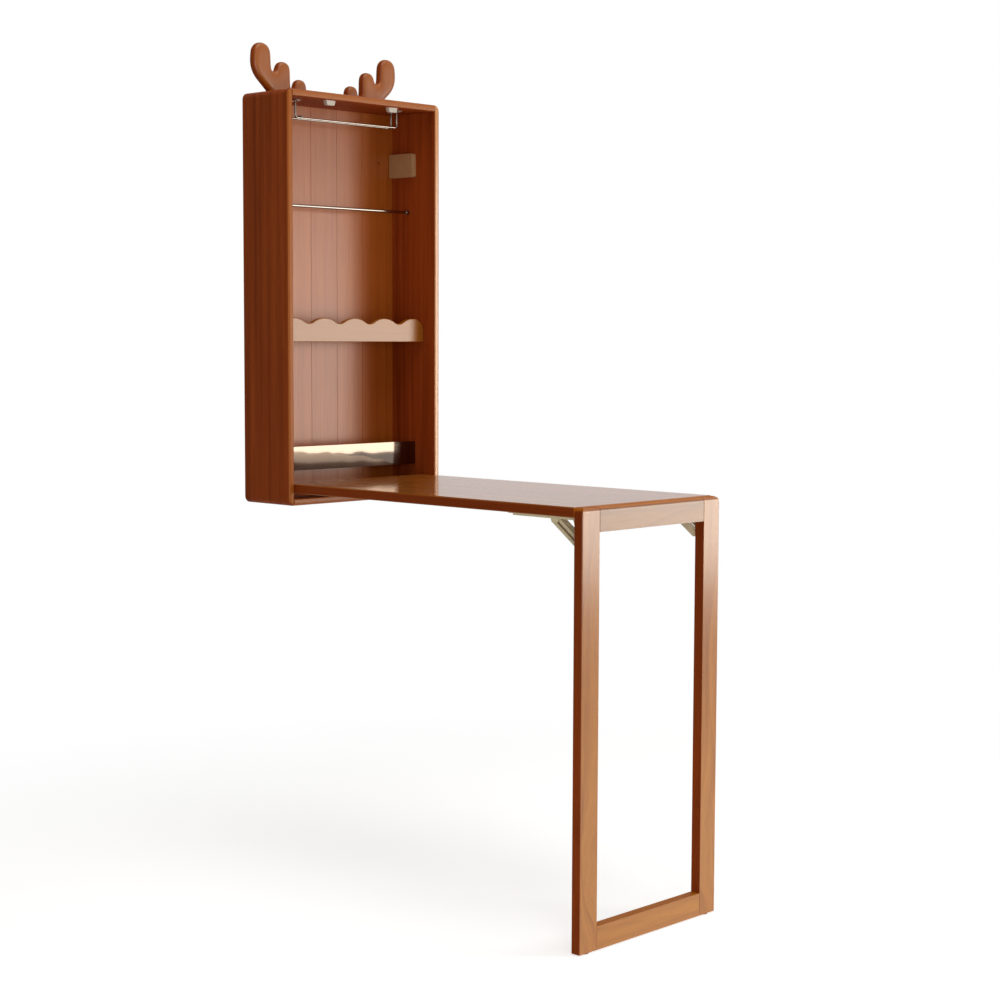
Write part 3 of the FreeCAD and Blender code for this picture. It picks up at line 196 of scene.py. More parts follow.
def wood(name, along, across, depth, colours, painted_facing_tones=None, plank_mm=400, first_mm=0, ring_mm=9,
         ring_depth=0.2, streak_mm=26, streak_depth=0.5, pith_mm=60, plank_depth=0.2, fleck_depth=0.2,
         swirl=None, painted_lighter_end=None, coat_axis="Y", coat=1.0, coat_roughness=0.3, coat_from=EDGE_TURN):
    """Wood under clear lacquer.

    Along is the grain's axis and depth the normal of the board's broad face. Colours are the dark and the
    light of the wood; painted_facing_tones gives the same for the faces that look along other axes, lighter or
    darker copies of the wood that paint light and shade by which way a face looks. The depths say how much of
    the way from dark to light a mark takes. Swirl is the height of a knot, the reach of its turned grain and
    the push sideways. Painted_lighter_end is the start and end of a slow change along the grain, painted light
    that grows paler towards the second end, and how much it takes. The coat lies on the faces that look along
    coat_axis.
    """
    material, tree = new_material(name)
    place = add(tree, "ShaderNodeSeparateXYZ", {0: millimetres(tree)})
    far, wide, deep = (place.outputs[axis] for axis in (along, across, depth))

    # Each plank has its own number, so its own piece of the tree
    shifted = add(tree, "ShaderNodeMath", {0: wide, 1: plank_mm / 2 - first_mm}, operation="ADD")
    number = add(tree, "ShaderNodeMath", {0: add(tree, "ShaderNodeMath", {0: shifted, 1: plank_mm},
                                                  operation="DIVIDE")}, operation="FLOOR")
    chance = add(tree, "ShaderNodeTexWhiteNoise", {"W": number}, noise_dimensions="1D").outputs["Color"]
    chances = add(tree, "ShaderNodeSeparateXYZ", {0: chance})
    middle = add(tree, "ShaderNodeMath", {0: number, 1: plank_mm, 2: first_mm}, operation="MULTIPLY_ADD")
    local = add(tree, "ShaderNodeMath", {0: wide, 1: middle}, operation="SUBTRACT")
    local = add(tree, "ShaderNodeMath", {0: chances.outputs["Z"], 1: plank_mm / 2, 2: local},
                operation="MULTIPLY_ADD")
    run = add(tree, "ShaderNodeMath", {0: chances.outputs["X"], 1: TREE_MM, 2: far}, operation="MULTIPLY_ADD")

    # Slow bends of the grain
    bend_place = add(tree, "ShaderNodeVectorMath",
                     {0: add(tree, "ShaderNodeCombineXYZ", {0: local, 1: deep, 2: run}),
                      1: BEND_SCALE}, operation="MULTIPLY")
    bend = add(tree, "ShaderNodeTexNoise", {"Vector": bend_place, "Scale": 1.0, "Detail": 2.0}).outputs["Fac"]
    bent = add(tree, "ShaderNodeMath", {0: bend, 1: BEND_MM, 2: local}, operation="MULTIPLY_ADD")

    if swirl:
        # A knot beside the face turns the grain aside there
        reach = add(tree, "ShaderNodeMath", {0: far, 1: swirl[0]}, operation="SUBTRACT")
        reach = add(tree, "ShaderNodeMath", {0: reach, 1: swirl[1]}, operation="DIVIDE")
        reach = add(tree, "ShaderNodeMath", {0: reach, 1: reach}, operation="MULTIPLY")
        push = add(tree, "ShaderNodeMath", {0: add(tree, "ShaderNodeMath", {0: reach, 1: -1.0},
                                                   operation="MULTIPLY")}, operation="EXPONENT")
        eddy_place = add(tree, "ShaderNodeVectorMath",
                         {0: add(tree, "ShaderNodeCombineXYZ", {0: local, 1: deep, 2: run}),
                          1: EDDY_SCALE}, operation="MULTIPLY")
        eddy = add(tree, "ShaderNodeTexNoise", {"Vector": eddy_place, "Scale": 1.0, "Detail": 1.0}).outputs["Fac"]
        eddy = add(tree, "ShaderNodeMath", {0: eddy, 1: swirl[2]}, operation="MULTIPLY")
        bent = add(tree, "ShaderNodeMath", {0: push, 1: eddy, 2: bent}, operation="MULTIPLY_ADD")

    # Growth rings about a pith that wanders behind the face, which draws the arches
    wander_place = add(tree, "ShaderNodeMath", {0: run, 1: 1 / PITH_BEND_MM}, operation="MULTIPLY")
    wander = add(tree, "ShaderNodeTexNoise", {"W": wander_place, "Scale": 1.0, "Detail": 0.0},
                 noise_dimensions="1D").outputs["Fac"]
    pith = add(tree, "ShaderNodeMath", {0: wander, 1: pith_mm, 2: deep}, operation="MULTIPLY_ADD")
    radius = add(tree, "ShaderNodeVectorMath",
                 {0: add(tree, "ShaderNodeCombineXYZ", {0: bent, 1: pith, 2: 0.0})},
                 operation="LENGTH").outputs["Value"]
    rings = add(tree, "ShaderNodeMath", {0: add(tree, "ShaderNodeMath", {0: radius, 1: ring_mm},
                                                operation="DIVIDE")}, operation="FRACT")
    late = add(tree, "ShaderNodeMath", {0: rings, 1: LATE_WOOD_POWER}, operation="POWER")

    # Long streaks of darker and lighter wood
    grain_place = add(tree, "ShaderNodeCombineXYZ", {0: bent, 1: deep, 2: run})
    streak_scale = (1 / streak_mm, 1 / streak_mm, 1 / STREAK_LENGTH_MM)
    streak_place = add(tree, "ShaderNodeVectorMath", {0: grain_place, 1: streak_scale}, operation="MULTIPLY")
    streak = add(tree, "ShaderNodeTexNoise", {"Vector": streak_place, "Scale": 1.0, "Detail": 3.0,
                                              "Roughness": 0.6}).outputs["Fac"]

    # Fibres and pores, drawn about twice as coarse as they are, so that they show
    fibre_place = add(tree, "ShaderNodeVectorMath", {0: grain_place, 1: FIBRE_SCALE}, operation="MULTIPLY")
    fibre = add(tree, "ShaderNodeTexNoise", {"Vector": fibre_place, "Scale": 1.0, "Detail": 2.0,
                                             "Roughness": 0.7}).outputs["Fac"]

    tone = add(tree, "ShaderNodeMapRange", {"Value": streak, "From Min": NOISE_LOW, "From Max": NOISE_HIGH,
                                            "To Min": MIDDLE_TONE - streak_depth / 2,
                                            "To Max": MIDDLE_TONE + streak_depth / 2})
    tone = add(tree, "ShaderNodeMath", {0: late, 1: -ring_depth, 2: tone}, operation="MULTIPLY_ADD")
    fleck = add(tree, "ShaderNodeMapRange", {"Value": fibre, "From Min": FLECK_LOW, "From Max": FLECK_HIGH,
                                             "To Min": -(fleck_depth + plank_depth) / 2,
                                             "To Max": (fleck_depth - plank_depth) / 2})
    tone = add(tree, "ShaderNodeMath", {0: tone, 1: fleck}, operation="ADD")
    if painted_lighter_end:
        # Painted light: the wood grows paler towards the second end of the piece
        end = add(tree, "ShaderNodeMapRange", {"Value": far, "From Min": painted_lighter_end[0], "From Max": painted_lighter_end[1],
                                               "To Min": -painted_lighter_end[2], "To Max": painted_lighter_end[2]})
        tone = add(tree, "ShaderNodeMath", {0: tone, 1: end}, operation="ADD")
    tone = add(tree, "ShaderNodeMath", {0: chances.outputs["Y"], 1: plank_depth, 2: tone},
               operation="MULTIPLY_ADD", use_clamp=True)

    colour = add(tree, "ShaderNodeMix", {0: tone, 6: srgb(colours[0]), 7: srgb(colours[1])},
                 data_type="RGBA").outputs[2]
    # Painted light and shade: a face that looks along a given axis takes a lighter or darker copy of the colours
    for axis, pair in (painted_facing_tones or {}).items():
        edge = add(tree, "ShaderNodeMix", {0: tone, 6: srgb(pair[0]), 7: srgb(pair[1])},
                   data_type="RGBA").outputs[2]
        colour = add(tree, "ShaderNodeMix", {0: facing(tree, axis, EDGE_TURN), 6: colour, 7: edge},
                     data_type="RGBA").outputs[2]

    lacquer = add(tree, "ShaderNodeMath", {0: facing(tree, coat_axis, coat_from), 1: coat}, operation="MULTIPLY")
    rough = add(tree, "ShaderNodeMapRange", {"Value": fibre, "From Min": NOISE_LOW, "From Max": NOISE_HIGH,
                                             "To Min": PORE_ROUGHNESS, "To Max": FIBRE_ROUGHNESS})
    height = add(tree, "ShaderNodeMath", {0: late, 1: LATE_WOOD_SINK, 2: fibre}, operation="MULTIPLY_ADD")
    bump = add(tree, "ShaderNodeBump", {"Strength": GRAIN_BUMP, "Distance": GRAIN_MM * MM, "Height": height})
    shader = add(tree, "ShaderNodeBsdfPrincipled", {
        "Base Color": colour, "Roughness": rough, "Specular IOR Level": BARE_WOOD_SHINE, "Coat Weight": lacquer,
        "Coat IOR": COAT_IOR, "Coat Roughness": coat_roughness, "Normal": bump})
    finish_material(tree, shader)
    return material


def metal(name, colour, roughness, marks_per_mm, depth_mm):
    """Plated metal with a faint mottle."""
    material, tree = new_material(name)
    marks = add(tree, "ShaderNodeTexNoise", {"Vector": millimetres(tree), "Scale": marks_per_mm,
                                             "Detail": 3.0}).outputs["Fac"]
    rough = add(tree, "ShaderNodeMapRange", {"Value": marks, "From Min": NOISE_LOW, "From Max": NOISE_HIGH,
                                             "To Min": roughness * METAL_ROUGH_SHARES[0],
                                             "To Max": roughness * METAL_ROUGH_SHARES[1]})
    bump = add(tree, "ShaderNodeBump", {"Strength": METAL_BUMP, "Distance": depth_mm * MM, "Height": marks})
    shader = add(tree, "ShaderNodeBsdfPrincipled", {
        "Base Color": srgb(colour), "Metallic": 1.0, "Roughness": rough, "Normal": bump})
    finish_material(tree, shader)
    return material


def polished_strip(name, colour, top_mm, bow, wave_mm, wave_length_mm):
    """Thin polished sheet, which is never quite flat: it bows towards its lower edge, and ripples."""
    material, tree = new_material(name)
    place = add(tree, "ShaderNodeSeparateXYZ", {0: millimetres(tree)})
    below = add(tree, "ShaderNodeMath", {0: place.outputs["Z"], 1: top_mm}, operation="SUBTRACT")
    bowed = add(tree, "ShaderNodeMath", {0: add(tree, "ShaderNodeMath", {0: below, 1: below},
                                                operation="MULTIPLY"), 1: -bow / 2}, operation="MULTIPLY")
    ripple_place = add(tree, "ShaderNodeCombineXYZ", {
        0: add(tree, "ShaderNodeMath", {0: place.outputs["X"], 1: 1 / wave_length_mm}, operation="MULTIPLY"),
        2: add(tree, "ShaderNodeMath", {0: place.outputs["Z"], 1: RIPPLE_SLANT / wave_length_mm},
               operation="MULTIPLY")})
    ripple = add(tree, "ShaderNodeTexNoise", {"Vector": ripple_place, "Scale": 1.0, "Detail": 1.0}).outputs["Fac"]
    height = add(tree, "ShaderNodeMath", {0: ripple, 1: wave_mm, 2: bowed}, operation="MULTIPLY_ADD")
    bump = add(tree, "ShaderNodeBump", {"Strength": 1.0, "Distance": MM, "Height": height})
    scratch_place = add(tree, "ShaderNodeVectorMath", {0: millimetres(tree), 1: SCRATCH_SCALE},
                        operation="MULTIPLY")
    scratches = add(tree, "ShaderNodeTexNoise", {"Vector": scratch_place, "Scale": 1.0, "Detail": 2.0}).outputs["Fac"]
    rough = add(tree, "ShaderNodeMapRange", {"Value": scratches, "From Min": NOISE_LOW, "From Max": NOISE_HIGH,
                                             "To Min": POLISHED_ROUGHNESS[0], "To Max": POLISHED_ROUGHNESS[1]})
    shader = add(tree, "ShaderNodeBsdfPrincipled", {
        "Base Color": srgb(colour), "Metallic": 1.0, "Roughness": rough, "Normal": bump})
    finish_material(tree, shader)
    return material


def coated(name, colours, roughness, pebble_mm, depth_mm):
    """Paint or moulded plastic: a pebbled skin with a little cloudiness in its colour."""
    material, tree = new_material(name)
    place = millimetres(tree)
    cloud = add(tree, "ShaderNodeTexNoise", {"Vector": place, "Scale": CLOUD_SCALE, "Detail": 2.0}).outputs["Fac"]
    pebble = add(tree, "ShaderNodeTexNoise", {"Vector": place, "Scale": 1 / pebble_mm, "Detail": 2.0}).outputs["Fac"]
    colour = add(tree, "ShaderNodeMix", {0: cloud, 6: srgb(colours[0]), 7: srgb(colours[1])},
                 data_type="RGBA").outputs[2]
    rough = add(tree, "ShaderNodeMapRange", {"Value": pebble, "From Min": NOISE_LOW, "From Max": NOISE_HIGH,
                                             "To Min": roughness - SKIN_ROUGH_SPREAD,
                                             "To Max": roughness + SKIN_ROUGH_SPREAD})
    bump = add(tree, "ShaderNodeBump", {"Strength": SKIN_BUMP, "Distance": depth_mm * MM, "Height": pebble})
    shader = add(tree, "ShaderNodeBsdfPrincipled", {
        "Base Color": colour, "Roughness": rough, "IOR": PLASTIC_IOR, "Normal": bump})
    finish_material(tree, shader)
    return material


# Cherry, planed, sanded and lacquered: fine straight grain, reddish brown faces, a soft haze on the fronts
# Painted light and shade: the side, front, end and rail tones are lit and shaded copies of one cherry. The fronts and
# ends are painted lighter as if lit, and the sides are painted darker as if in shade. The right panel's front edge is
# painted with a highlight. The top rail is painted darker and the bottom rail lighter than the stiles' fronts.
SIDE_FACES_SHADED = ("78300e", "a84e20")
CASE_FRONTS_LIT = ("8e4610", "b06424")
RIGHT_FRONT_HIGHLIGHT = ("ac6222", "ce8840")
BACK_FACES = ("8c400e", "b66222")
LEG_FRONTS_LIT = ("92521a", "c07c30")
LEG_SIDES_SHADED = ("702c0c", "9a4418")
LEG_ENDS_LIT = ("a85a16", "cc7c26")
BOARD_TOP = ("7e4210", "aa6224")
LIP_FACES = ("8a4e10", "a4641e")
ANTLER_FACES = ("8c460e", "aa601c")
TOP_RAIL_FACE_SHADED = ("74400c", "985c1c")
LOW_RAIL_FACE_LIT = ("a26018", "cc862e")

side_wood = wood("cherry_left_side", "Z", "Y", "X", SIDE_FACES_SHADED, {"Y": CASE_FRONTS_LIT}, plank_mm=190,
                 first_mm=-95, ring_depth=0.1, streak_mm=20, streak_depth=0.8, coat=0.2)
right_wood = wood("cherry_right_side", "Z", "Y", "X", SIDE_FACES_SHADED, {"Y": RIGHT_FRONT_HIGHLIGHT}, plank_mm=190,
                  first_mm=-90, ring_depth=0.1, streak_mm=20, streak_depth=0.8, coat=1.0,
                  coat_roughness=0.2)
case_wood = wood("cherry_top_and_bottom", "X", "Y", "Z", SIDE_FACES_SHADED, {"Y": CASE_FRONTS_LIT}, plank_mm=190,
                 first_mm=-95, ring_depth=0.1, coat=0.4)
back_wood = wood("cherry_planks_back", "Z", "X", "Y", BACK_FACES, plank_mm=92, ring_depth=0.14,
                 streak_depth=0.4, plank_depth=0.16, coat=0.64)
shelf_wood = wood("cherry_shelves", "X", "Y", "Z", CASE_FRONTS_LIT, plank_mm=120, first_mm=-60, ring_depth=0.15,
                  coat=0.5)
lip_wood = wood("cherry_wave_lip", "X", "Z", "Y", LIP_FACES, {"X": SIDE_FACES_SHADED}, plank_mm=200, first_mm=-80,
                ring_depth=0.1, streak_depth=0.25, coat=0.9)
antler_wood = wood("cherry_antlers", "Z", "X", "Y", ANTLER_FACES, {"X": SIDE_FACES_SHADED}, plank_mm=300, first_mm=150,
                   ring_depth=0.15, coat=0.6)
board_wood = wood("cherry_table_board", "Y", "X", "Z", LEG_ENDS_LIT, {"X": LEG_SIDES_SHADED, "Z": BOARD_TOP},
                  plank_mm=125, ring_depth=0.25, coat_axis="Z", coat=0.6, coat_roughness=0.07,
                  coat_from=0.9)
# Painted light on the leg stiles: paler towards the foot
stile_wood = wood("cherry_leg_stiles", "Z", "X", "Y", LEG_FRONTS_LIT, {"X": LEG_SIDES_SHADED, "Z": LEG_ENDS_LIT},
                  plank_mm=220, ring_depth=0.3, ring_mm=8, pith_mm=40, fleck_depth=0.3,
                  swirl=(-1310, 130, 90), painted_lighter_end=(-500, -1100, 0.3), coat=0.92,
                  coat_roughness=0.2)
# Painted shade on the top rail and painted light on the bottom rail: each takes its own darker or lighter copy of the
# legs' cherry
top_rail_wood = wood("cherry_leg_top_rail", "X", "Z", "Y", TOP_RAIL_FACE_SHADED, {"Z": LEG_ENDS_LIT}, plank_mm=300,
                     ring_depth=0.25, ring_mm=7, pith_mm=40, fleck_depth=0.3, coat=0.82, coat_roughness=0.22)
low_rail_wood = wood("cherry_leg_bottom_rail", "X", "Z", "Y", LOW_RAIL_FACE_LIT, {"Z": LEG_ENDS_LIT}, plank_mm=300,
                     ring_depth=0.25, ring_mm=7, pith_mm=40, fleck_depth=0.3)
# Turned beech dowels: pale and plain
dowel_beech = wood("beech_dowels", "X", "Y", "Z", ("c8a070", "dcb98c"), plank_mm=500, ring_depth=0.1, coat=0.0)
# Chrome plated over ground steel: clean, its colour darkened and warmed as a painted reflection of the brown wood
# around it
chrome = metal("chrome_plated_steel", "948a82", roughness=0.12, marks_per_mm=0.4, depth_mm=0.0)
# Rolled sheet steel, polished along its length: a wavy mirror with fine lengthwise scratches, its colour dark and
# brownish as a painted reflection of the wood around it
mirror = polished_strip("polished_steel_strip", "74665c", top_mm=-384, bow=0.0028, wave_mm=5.0, wave_length_mm=80)
# Zinc plated in a barrel: dull grey with a faint mottle
zinc = metal("zinc_plated_steel", "a8a49a", roughness=0.32, marks_per_mm=0.8, depth_mm=0.02)
# Powder coat: satin with a fine pebble. Moulded plastics: matt and slightly cloudy
enamel = coated("powder_coated_steel_beige", ("d8c8a6", "e4d6b6"), roughness=0.45, pebble_mm=0.6, depth_mm=0.03)
white_abs = coated("moulded_abs_white", ("c8beb2", "d6ccc0"), roughness=0.45, pebble_mm=0.4, depth_mm=0.02)
beige_pc = coated("moulded_plastic_beige", ("a8825c", "b68e66"), roughness=0.45, pebble_mm=0.5, depth_mm=0.02)
nylon = coated("moulded_nylon", ("d8d4c8", "e4e0d4"), roughness=0.45, pebble_mm=0.5, depth_mm=0.02)
# Moulded rubber, brown like the wood above it: matt, with the mould's fine grain
rubber = coated("moulded_rubber_brown", ("5a3c26", "70503a"), roughness=0.8, pebble_mm=0.8, depth_mm=0.05)

FINISHES = {
    side_wood: ["left_side_panel"],
    right_wood: ["right_side_panel"],
    case_wood: ["top_panel", "bottom_panel"],
    back_wood: ["back_panel"],
    shelf_wood: ["middle_shelf", "bottle_shelf"],
    lip_wood: ["shelf_wave_lip"],
    antler_wood: ["antler_left", "antler_right"],
    board_wood: ["table_board"],
    stile_wood: ["leg_stile_left", "leg_stile_right"],
    top_rail_wood: ["leg_top_rail"],
    low_rail_wood: ["leg_bottom_rail"],
    dowel_beech: ["panel_dowels", "middle_shelf_dowels", "bottle_shelf_dowels", "antler_dowels", "lip_dowels",
                  "leg_dowels"],
    chrome: ["hanging_rod", "rod_cup_left", "rod_cup_right", "rack_wire_front", "rack_wire_rear",
             "rack_end_stop", "rack_plate_left", "rack_plate_right"],
    mirror: ["bottle_guard"],
    zinc: ["catch_magnets", "hinge_pin_left", "hinge_pin_right", "strike_plate_left", "strike_plate_right",
           "strike_screws", "fold_pins"],
    enamel: ["table_rail_left", "table_rail_right", "leg_rail_left", "leg_rail_right", "strap_left",
             "strap_right", "strap_rivets", "slot_pins"],
    white_abs: ["catch_housing_left", "catch_housing_right"],
    beige_pc: ["socket_housing", "socket_cover"],
    nylon: ["hinge_bush_left", "hinge_bush_right"],
    rubber: ["foot_glides"],
}
for material, names in FINISHES.items():
    for name in names:
        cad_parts[name].material_slots[0].material = material


def solids(name):
    """The corner points of each separate solid of a CAD node."""
    shape = bmesh.new()
    shape.from_mesh(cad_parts[name].data)
    bmesh.ops.remove_doubles(shape, verts=shape.verts, dist=MERGE_DISTANCE)
    left = set(shape.verts)
    found = []
    while left:
        group = [left.pop()]
        for vert in group:
            for edge in vert.link_edges:
                other = edge.other_vert(vert)
                if other in left:
                    left.remove(other)
                    group.append(other)
        found.append([vert.co.copy() for vert in group])
    shape.free()
    return sorted(found, key=lambda points: tuple(round(v, 5) for v in sum(points, Vector()) / len(points)))


def screw_seats(name):
    """Where each screw of a node sits: the point under its head, and the turn that stands it there."""
    seats = []
    for points in solids(name):
        low = Vector(min(p[i] for p in points) for i in range(3))
        high = Vector(max(p[i] for p in points) for i in range(3))
        middle = (low + high) / 2
        axis = max(range(3), key=lambda i: high[i] - low[i])
        along = Vector([float(i == axis) for i in range(3)])
        rims = [p for p in points if (p - middle - (p[axis] - middle[axis]) * along).length
                > SCREW_SIZES["Head Radius"] * RIM_SHARE]
        outward = along if sum(p[axis] for p in rims) / len(rims) > middle[axis] else -along
        end = high[axis] if outward[axis] > 0 else low[axis]
        seat = middle.copy()
        seat[axis] = end - outward[axis] * SCREW_SIZES["Head Height"]
        seats.append((seat, outward.to_track_quat("Z", "Y").to_euler()))
    return seats


def screw_tree():
    """Geometry nodes: a domed screw with a cross recess, at each point of the mesh that comes in."""
    tree = bpy.data.node_groups.new("cross_recess_screws", "GeometryNodeTree")
    tree.interface.new_socket("Geometry", in_out="INPUT", socket_type="NodeSocketGeometry")
    for name in SCREW_SIZES:
        tree.interface.new_socket(name, in_out="INPUT", socket_type="NodeSocketFloat")
    tree.interface.new_socket("Material", in_out="INPUT", socket_type="NodeSocketMaterial")
    tree.interface.new_socket("Geometry", in_out="OUTPUT", socket_type="NodeSocketGeometry")
    entry = add(tree, "NodeGroupInput")
    radius, height = entry.outputs["Head Radius"], entry.outputs["Head Height"]

    # The dome is the cap that a plane cuts off a ball
    squares = add(tree, "ShaderNodeMath", {0: radius, 1: radius, 2: add(
        tree, "ShaderNodeMath", {0: height, 1: height}, operation="MULTIPLY")}, operation="MULTIPLY_ADD")
    ball_radius = add(tree, "ShaderNodeMath", {0: squares, 1: add(
        tree, "ShaderNodeMath", {0: height, 1: 2.0}, operation="MULTIPLY")}, operation="DIVIDE")
    sink = add(tree, "ShaderNodeMath", {0: height, 1: ball_radius}, operation="SUBTRACT")
    ball = add(tree, "GeometryNodeTransform", {
        "Geometry": add(tree, "GeometryNodeMeshUVSphere", {"Segments": HEAD_SEGMENTS, "Rings": HEAD_RINGS,
                                                           "Radius": ball_radius}),
        "Translation": add(tree, "ShaderNodeCombineXYZ", {2: sink})})
    double = add(tree, "ShaderNodeMath", {0: radius, 1: 4.0}, operation="MULTIPLY")
    above = add(tree, "GeometryNodeTransform", {
        "Geometry": add(tree, "GeometryNodeMeshCube", {"Size": add(
            tree, "ShaderNodeCombineXYZ", {0: double, 1: double, 2: double})}),
        "Translation": add(tree, "ShaderNodeCombineXYZ", {2: add(
            tree, "ShaderNodeMath", {0: double, 1: 0.5}, operation="MULTIPLY")})})
    dome = add(tree, "GeometryNodeMeshBoolean", {"Mesh 2": [ball, above]}, operation="INTERSECT", solver="EXACT")

    # Two crossed bars cut the recess
    long, thin = entry.outputs["Recess Length"], entry.outputs["Recess Width"]
    tall = add(tree, "ShaderNodeMath", {0: entry.outputs["Recess Depth"], 1: 2.0}, operation="MULTIPLY")
    bars = []
    for sizes in ({0: long, 1: thin, 2: tall}, {0: thin, 1: long, 2: tall}):
        bars.append(add(tree, "GeometryNodeTransform", {
            "Geometry": add(tree, "GeometryNodeMeshCube", {"Size": add(tree, "ShaderNodeCombineXYZ", sizes)}),
            "Translation": add(tree, "ShaderNodeCombineXYZ", {2: height})}))
    head = add(tree, "GeometryNodeMeshBoolean", {"Mesh 1": dome, "Mesh 2": bars}, operation="DIFFERENCE",
               solver="EXACT")

    length = entry.outputs["Shank Length"]
    shank = add(tree, "GeometryNodeTransform", {
        "Geometry": add(tree, "GeometryNodeMeshCylinder", {
            "Vertices": SHANK_SIDES, "Radius": entry.outputs["Shank Radius"], "Depth": length}),
        "Translation": add(tree, "ShaderNodeCombineXYZ", {2: add(
            tree, "ShaderNodeMath", {0: length, 1: -0.5}, operation="MULTIPLY")})})
    screw = add(tree, "GeometryNodeJoinGeometry", {"Geometry": [head, shank]})
    turn = add(tree, "GeometryNodeInputNamedAttribute", {"Name": "turn"}, data_type="FLOAT_VECTOR")
    placed = add(tree, "GeometryNodeInstanceOnPoints", {
        "Points": add(tree, "GeometryNodeMeshToPoints", {"Mesh": entry.outputs["Geometry"]}),
        "Instance": screw, "Rotation": turn.outputs["Attribute"]})
    solid = add(tree, "GeometryNodeRealizeInstances", {"Geometry": placed})
    painted = add(tree, "GeometryNodeSetMaterial", {"Geometry": solid, "Material": entry.outputs["Material"]})
    add(tree, "NodeGroupOutput", {"Geometry": painted})
    return tree


def screws(name, tree, body, nodes):
    """The screws of several nodes of one body, as one plain mesh."""
    seats = [seat for node in nodes for seat in screw_seats(node)]
    points = bpy.data.meshes.new(name + "_points")
    points.from_pydata([tuple(place) for place, _ in seats], [], [])
    turns = points.attributes.new("turn", "FLOAT_VECTOR", "POINT")
    for index, (_, turn) in enumerate(seats):
        turns.data[index].vector = tuple(turn)
    maker = bpy.data.objects.new(name + "_points", points)
    bpy.context.scene.collection.objects.link(maker)
    modifier = maker.modifiers.new("screws", "NODES")
    modifier.node_group = tree
    for socket in tree.interface.items_tree:
        if socket.in_out == "INPUT" and socket.name in SCREW_SIZES:
            modifier[socket.identifier] = SCREW_SIZES[socket.name]
        if socket.in_out == "INPUT" and socket.name == "Material":
            modifier[socket.identifier] = zinc
    bpy.context.view_layer.update()
    seen = maker.evaluated_get(bpy.context.evaluated_depsgraph_get())
    mesh = bpy.data.meshes.new_from_object(seen)
    mesh.name = name
    bpy.data.objects.remove(maker)
    thing = bpy.data.objects.new(name, mesh)
    bpy.context.scene.collection.objects.link(thing)
    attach(thing, body)
    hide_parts(*nodes)


SCREWS = screw_tree()
screws("cabinet_screws", SCREWS, "cabinet", ["guard_screws", "socket_screws", "catch_screws", "rack_screws"])
screws("table_bracket_screws", SCREWS, "table", ["table_rail_screws"])
screws("leg_bracket_screws", SCREWS, "leg_frame", ["leg_rail_screws"])


def sanded(name, node):
    """A sawn solid with its arrises sanded round, flat where it stands, in the CAD solid's box."""
    shape = bmesh.new()
    shape.from_mesh(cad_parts[node].data)
    bmesh.ops.remove_doubles(shape, verts=shape.verts, dist=MERGE_DISTANCE)
    mesh = bpy.data.meshes.new(name)
    shape.to_mesh(mesh)
    shape.free()
    maker = bpy.data.objects.new(name, mesh)
    bpy.context.scene.collection.objects.link(maker)
    remesh = maker.modifiers.new("even_faces", "REMESH")
    remesh.mode = "VOXEL"
    remesh.voxel_size = SAND_FACE
    bpy.context.view_layer.update()
    seen = maker.evaluated_get(bpy.context.evaluated_depsgraph_get())
    even = bpy.data.meshes.new_from_object(seen)
    bpy.data.objects.remove(maker)
    shape = bmesh.new()
    shape.from_mesh(even)
    low = min(vert.co.z for vert in shape.verts)
    upper = [vert for vert in shape.verts if vert.co.z > low + SAND_FOOT]
    for _ in range(SAND_ROUNDS):
        bmesh.ops.smooth_vert(shape, verts=upper, factor=SAND_STRENGTH, use_axis_x=True, use_axis_y=True,
                              use_axis_z=True)
    want_low, want_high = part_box(node)
    for axis in range(3):
        got = [vert.co[axis] for vert in shape.verts]
        start = min(got)
        share = (want_high[axis] - want_low[axis]) / (max(got) - start)
        for vert in shape.verts:
            vert.co[axis] = want_low[axis] + (vert.co[axis] - start) * share
    shape.to_mesh(even)
    shape.free()
    even.name = name
    even.materials.clear()
    even.materials.append(antler_wood)
    for face in even.polygons:
        face.use_smooth = True
    thing = bpy.data.objects.new(name, even)
    bpy.context.scene.collection.objects.link(thing)
    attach(thing, "cabinet")
    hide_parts(node)


sanded("sanded_antler_left", "antler_left")
sanded("sanded_antler_right", "antler_right")


def aim(thing, place, target):
    thing.location = place
    thing.rotation_mode = "QUATERNION"
    thing.rotation_quaternion = (Vector(target) - Vector(place)).to_track_quat("-Z", "Y")


def softbox(name, place, target, size, power):
    data = bpy.data.lights.new(name, "AREA")
    data.shape = "RECTANGLE"
    data.size, data.size_y = size
    data.energy = power
    data.color = LIGHT_COLOUR
    lamp = bpy.data.objects.new(name, data)
    lamp.visible_camera = False
    bpy.context.scene.collection.objects.link(lamp)
    aim(lamp, place, target)


def seen_ray(tree, *names):
    """1 for rays of the kinds named."""
    path = add(tree, "ShaderNodeLightPath")
    seen = path.outputs[names[0]]
    for name in names[1:]:
        seen = add(tree, "ShaderNodeMath", {0: seen, 1: path.outputs[name]}, operation="MAXIMUM").outputs[0]
    return seen


def sky():
    """Soft even light, and plain white to the camera and in reflections."""
    world = bpy.data.worlds.new("sky")
    bpy.context.scene.world = world
    world.use_nodes = True
    tree = world.node_tree
    tree.nodes.clear()
    seen = seen_ray(tree, "Is Camera Ray", "Is Glossy Ray", "Is Transmission Ray")
    soft = add(tree, "ShaderNodeBackground", {"Color": (1, 1, 1, 1), "Strength": SKY_STRENGTH})
    white = add(tree, "ShaderNodeBackground", {"Color": (1, 1, 1, 1), "Strength": 1.0})
    add(tree, "ShaderNodeOutputWorld", {"Surface": add(tree, "ShaderNodeMixShader", {0: seen, 1: soft, 2: white})})


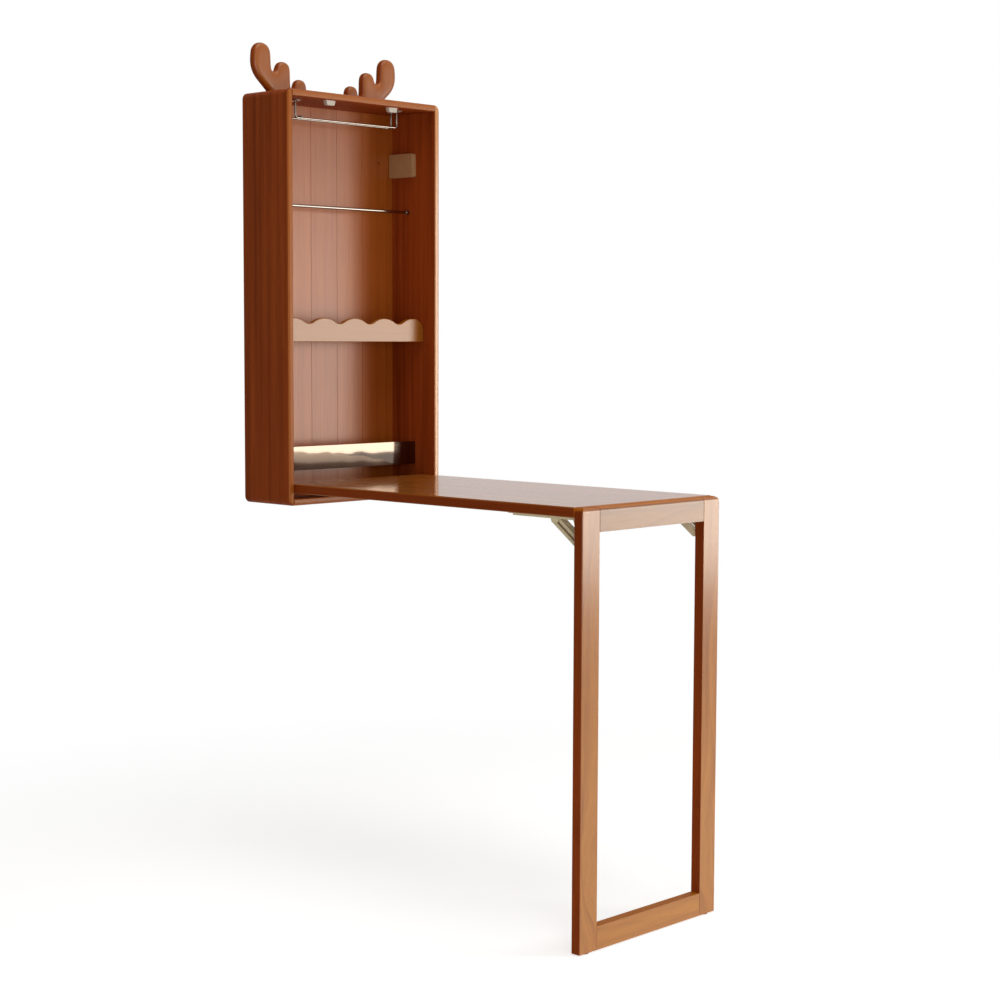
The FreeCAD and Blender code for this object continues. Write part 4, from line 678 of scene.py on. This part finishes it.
def floor():
    """Pale floor under the leg, which keeps its soft shadow and fades to plain white away from it."""
    mesh = bpy.data.meshes.new("floor")
    half = FLOOR_SIZE / 2
    mesh.from_pydata([(-half, -half, FLOOR_Z), (half, -half, FLOOR_Z), (half, half, FLOOR_Z),
                      (-half, half, FLOOR_Z)], [], [(0, 1, 2, 3)])
    thing = bpy.data.objects.new("floor", mesh)
    bpy.context.scene.collection.objects.link(thing)
    material, tree = new_material("pale_floor")
    place = add(tree, "ShaderNodeTexCoord").outputs["Object"]
    flat = add(tree, "ShaderNodeVectorMath", {0: place, 1: (1, 1, 0)}, operation="MULTIPLY")
    away = add(tree, "ShaderNodeVectorMath", {0: flat, 1: FLOOR_MIDDLE}, operation="DISTANCE").outputs["Value"]
    fade = add(tree, "ShaderNodeMapRange", {"Value": away, "From Min": FLOOR_FADE[0], "From Max": FLOOR_FADE[1]},
               interpolation_type="SMOOTHSTEP")
    seen = seen_ray(tree, "Is Camera Ray", "Is Glossy Ray")
    share = add(tree, "ShaderNodeMath", {0: fade, 1: seen}, operation="MULTIPLY")
    matt = add(tree, "ShaderNodeBsdfDiffuse", {"Color": srgb(FLOOR_COLOUR)})
    lift = add(tree, "ShaderNodeEmission", {"Color": (1, 1, 1, 1), "Strength": add(
        tree, "ShaderNodeMath", {0: seen, 1: FLOOR_LIFT}, operation="MULTIPLY")})
    near = add(tree, "ShaderNodeAddShader", {0: matt, 1: lift})
    glow = add(tree, "ShaderNodeEmission", {"Color": (1, 1, 1, 1), "Strength": 1.0})
    finish_material(tree, add(tree, "ShaderNodeMixShader", {0: share, 1: near, 2: glow}))
    mesh.materials.append(material)


def camera():
    data = bpy.data.cameras.new("camera")
    data.sensor_width = SENSOR_MM
    data.lens = FOCAL_PX / PHOTO_PX * SENSOR_MM
    data.clip_end = CAMERA_REACH
    thing = bpy.data.objects.new("camera", data)
    bpy.context.scene.collection.objects.link(thing)
    turn = (Matrix.Rotation(math.radians(-CAMERA_YAW), 4, "Z")
            @ Matrix.Rotation(math.radians(90 - CAMERA_DOWN), 4, "X")
            @ Matrix.Rotation(math.radians(CAMERA_ROLL), 4, "Z"))
    thing.matrix_world = Matrix.Translation(CAMERA_PLACE) @ turn
    bpy.context.scene.camera = thing


sky()
floor()
softbox("key_softbox", **KEY)
softbox("fill_softbox", **FILL)
softbox("top_softbox", **TOP)
camera()
bpy.context.scene.view_settings.view_transform = "Standard"
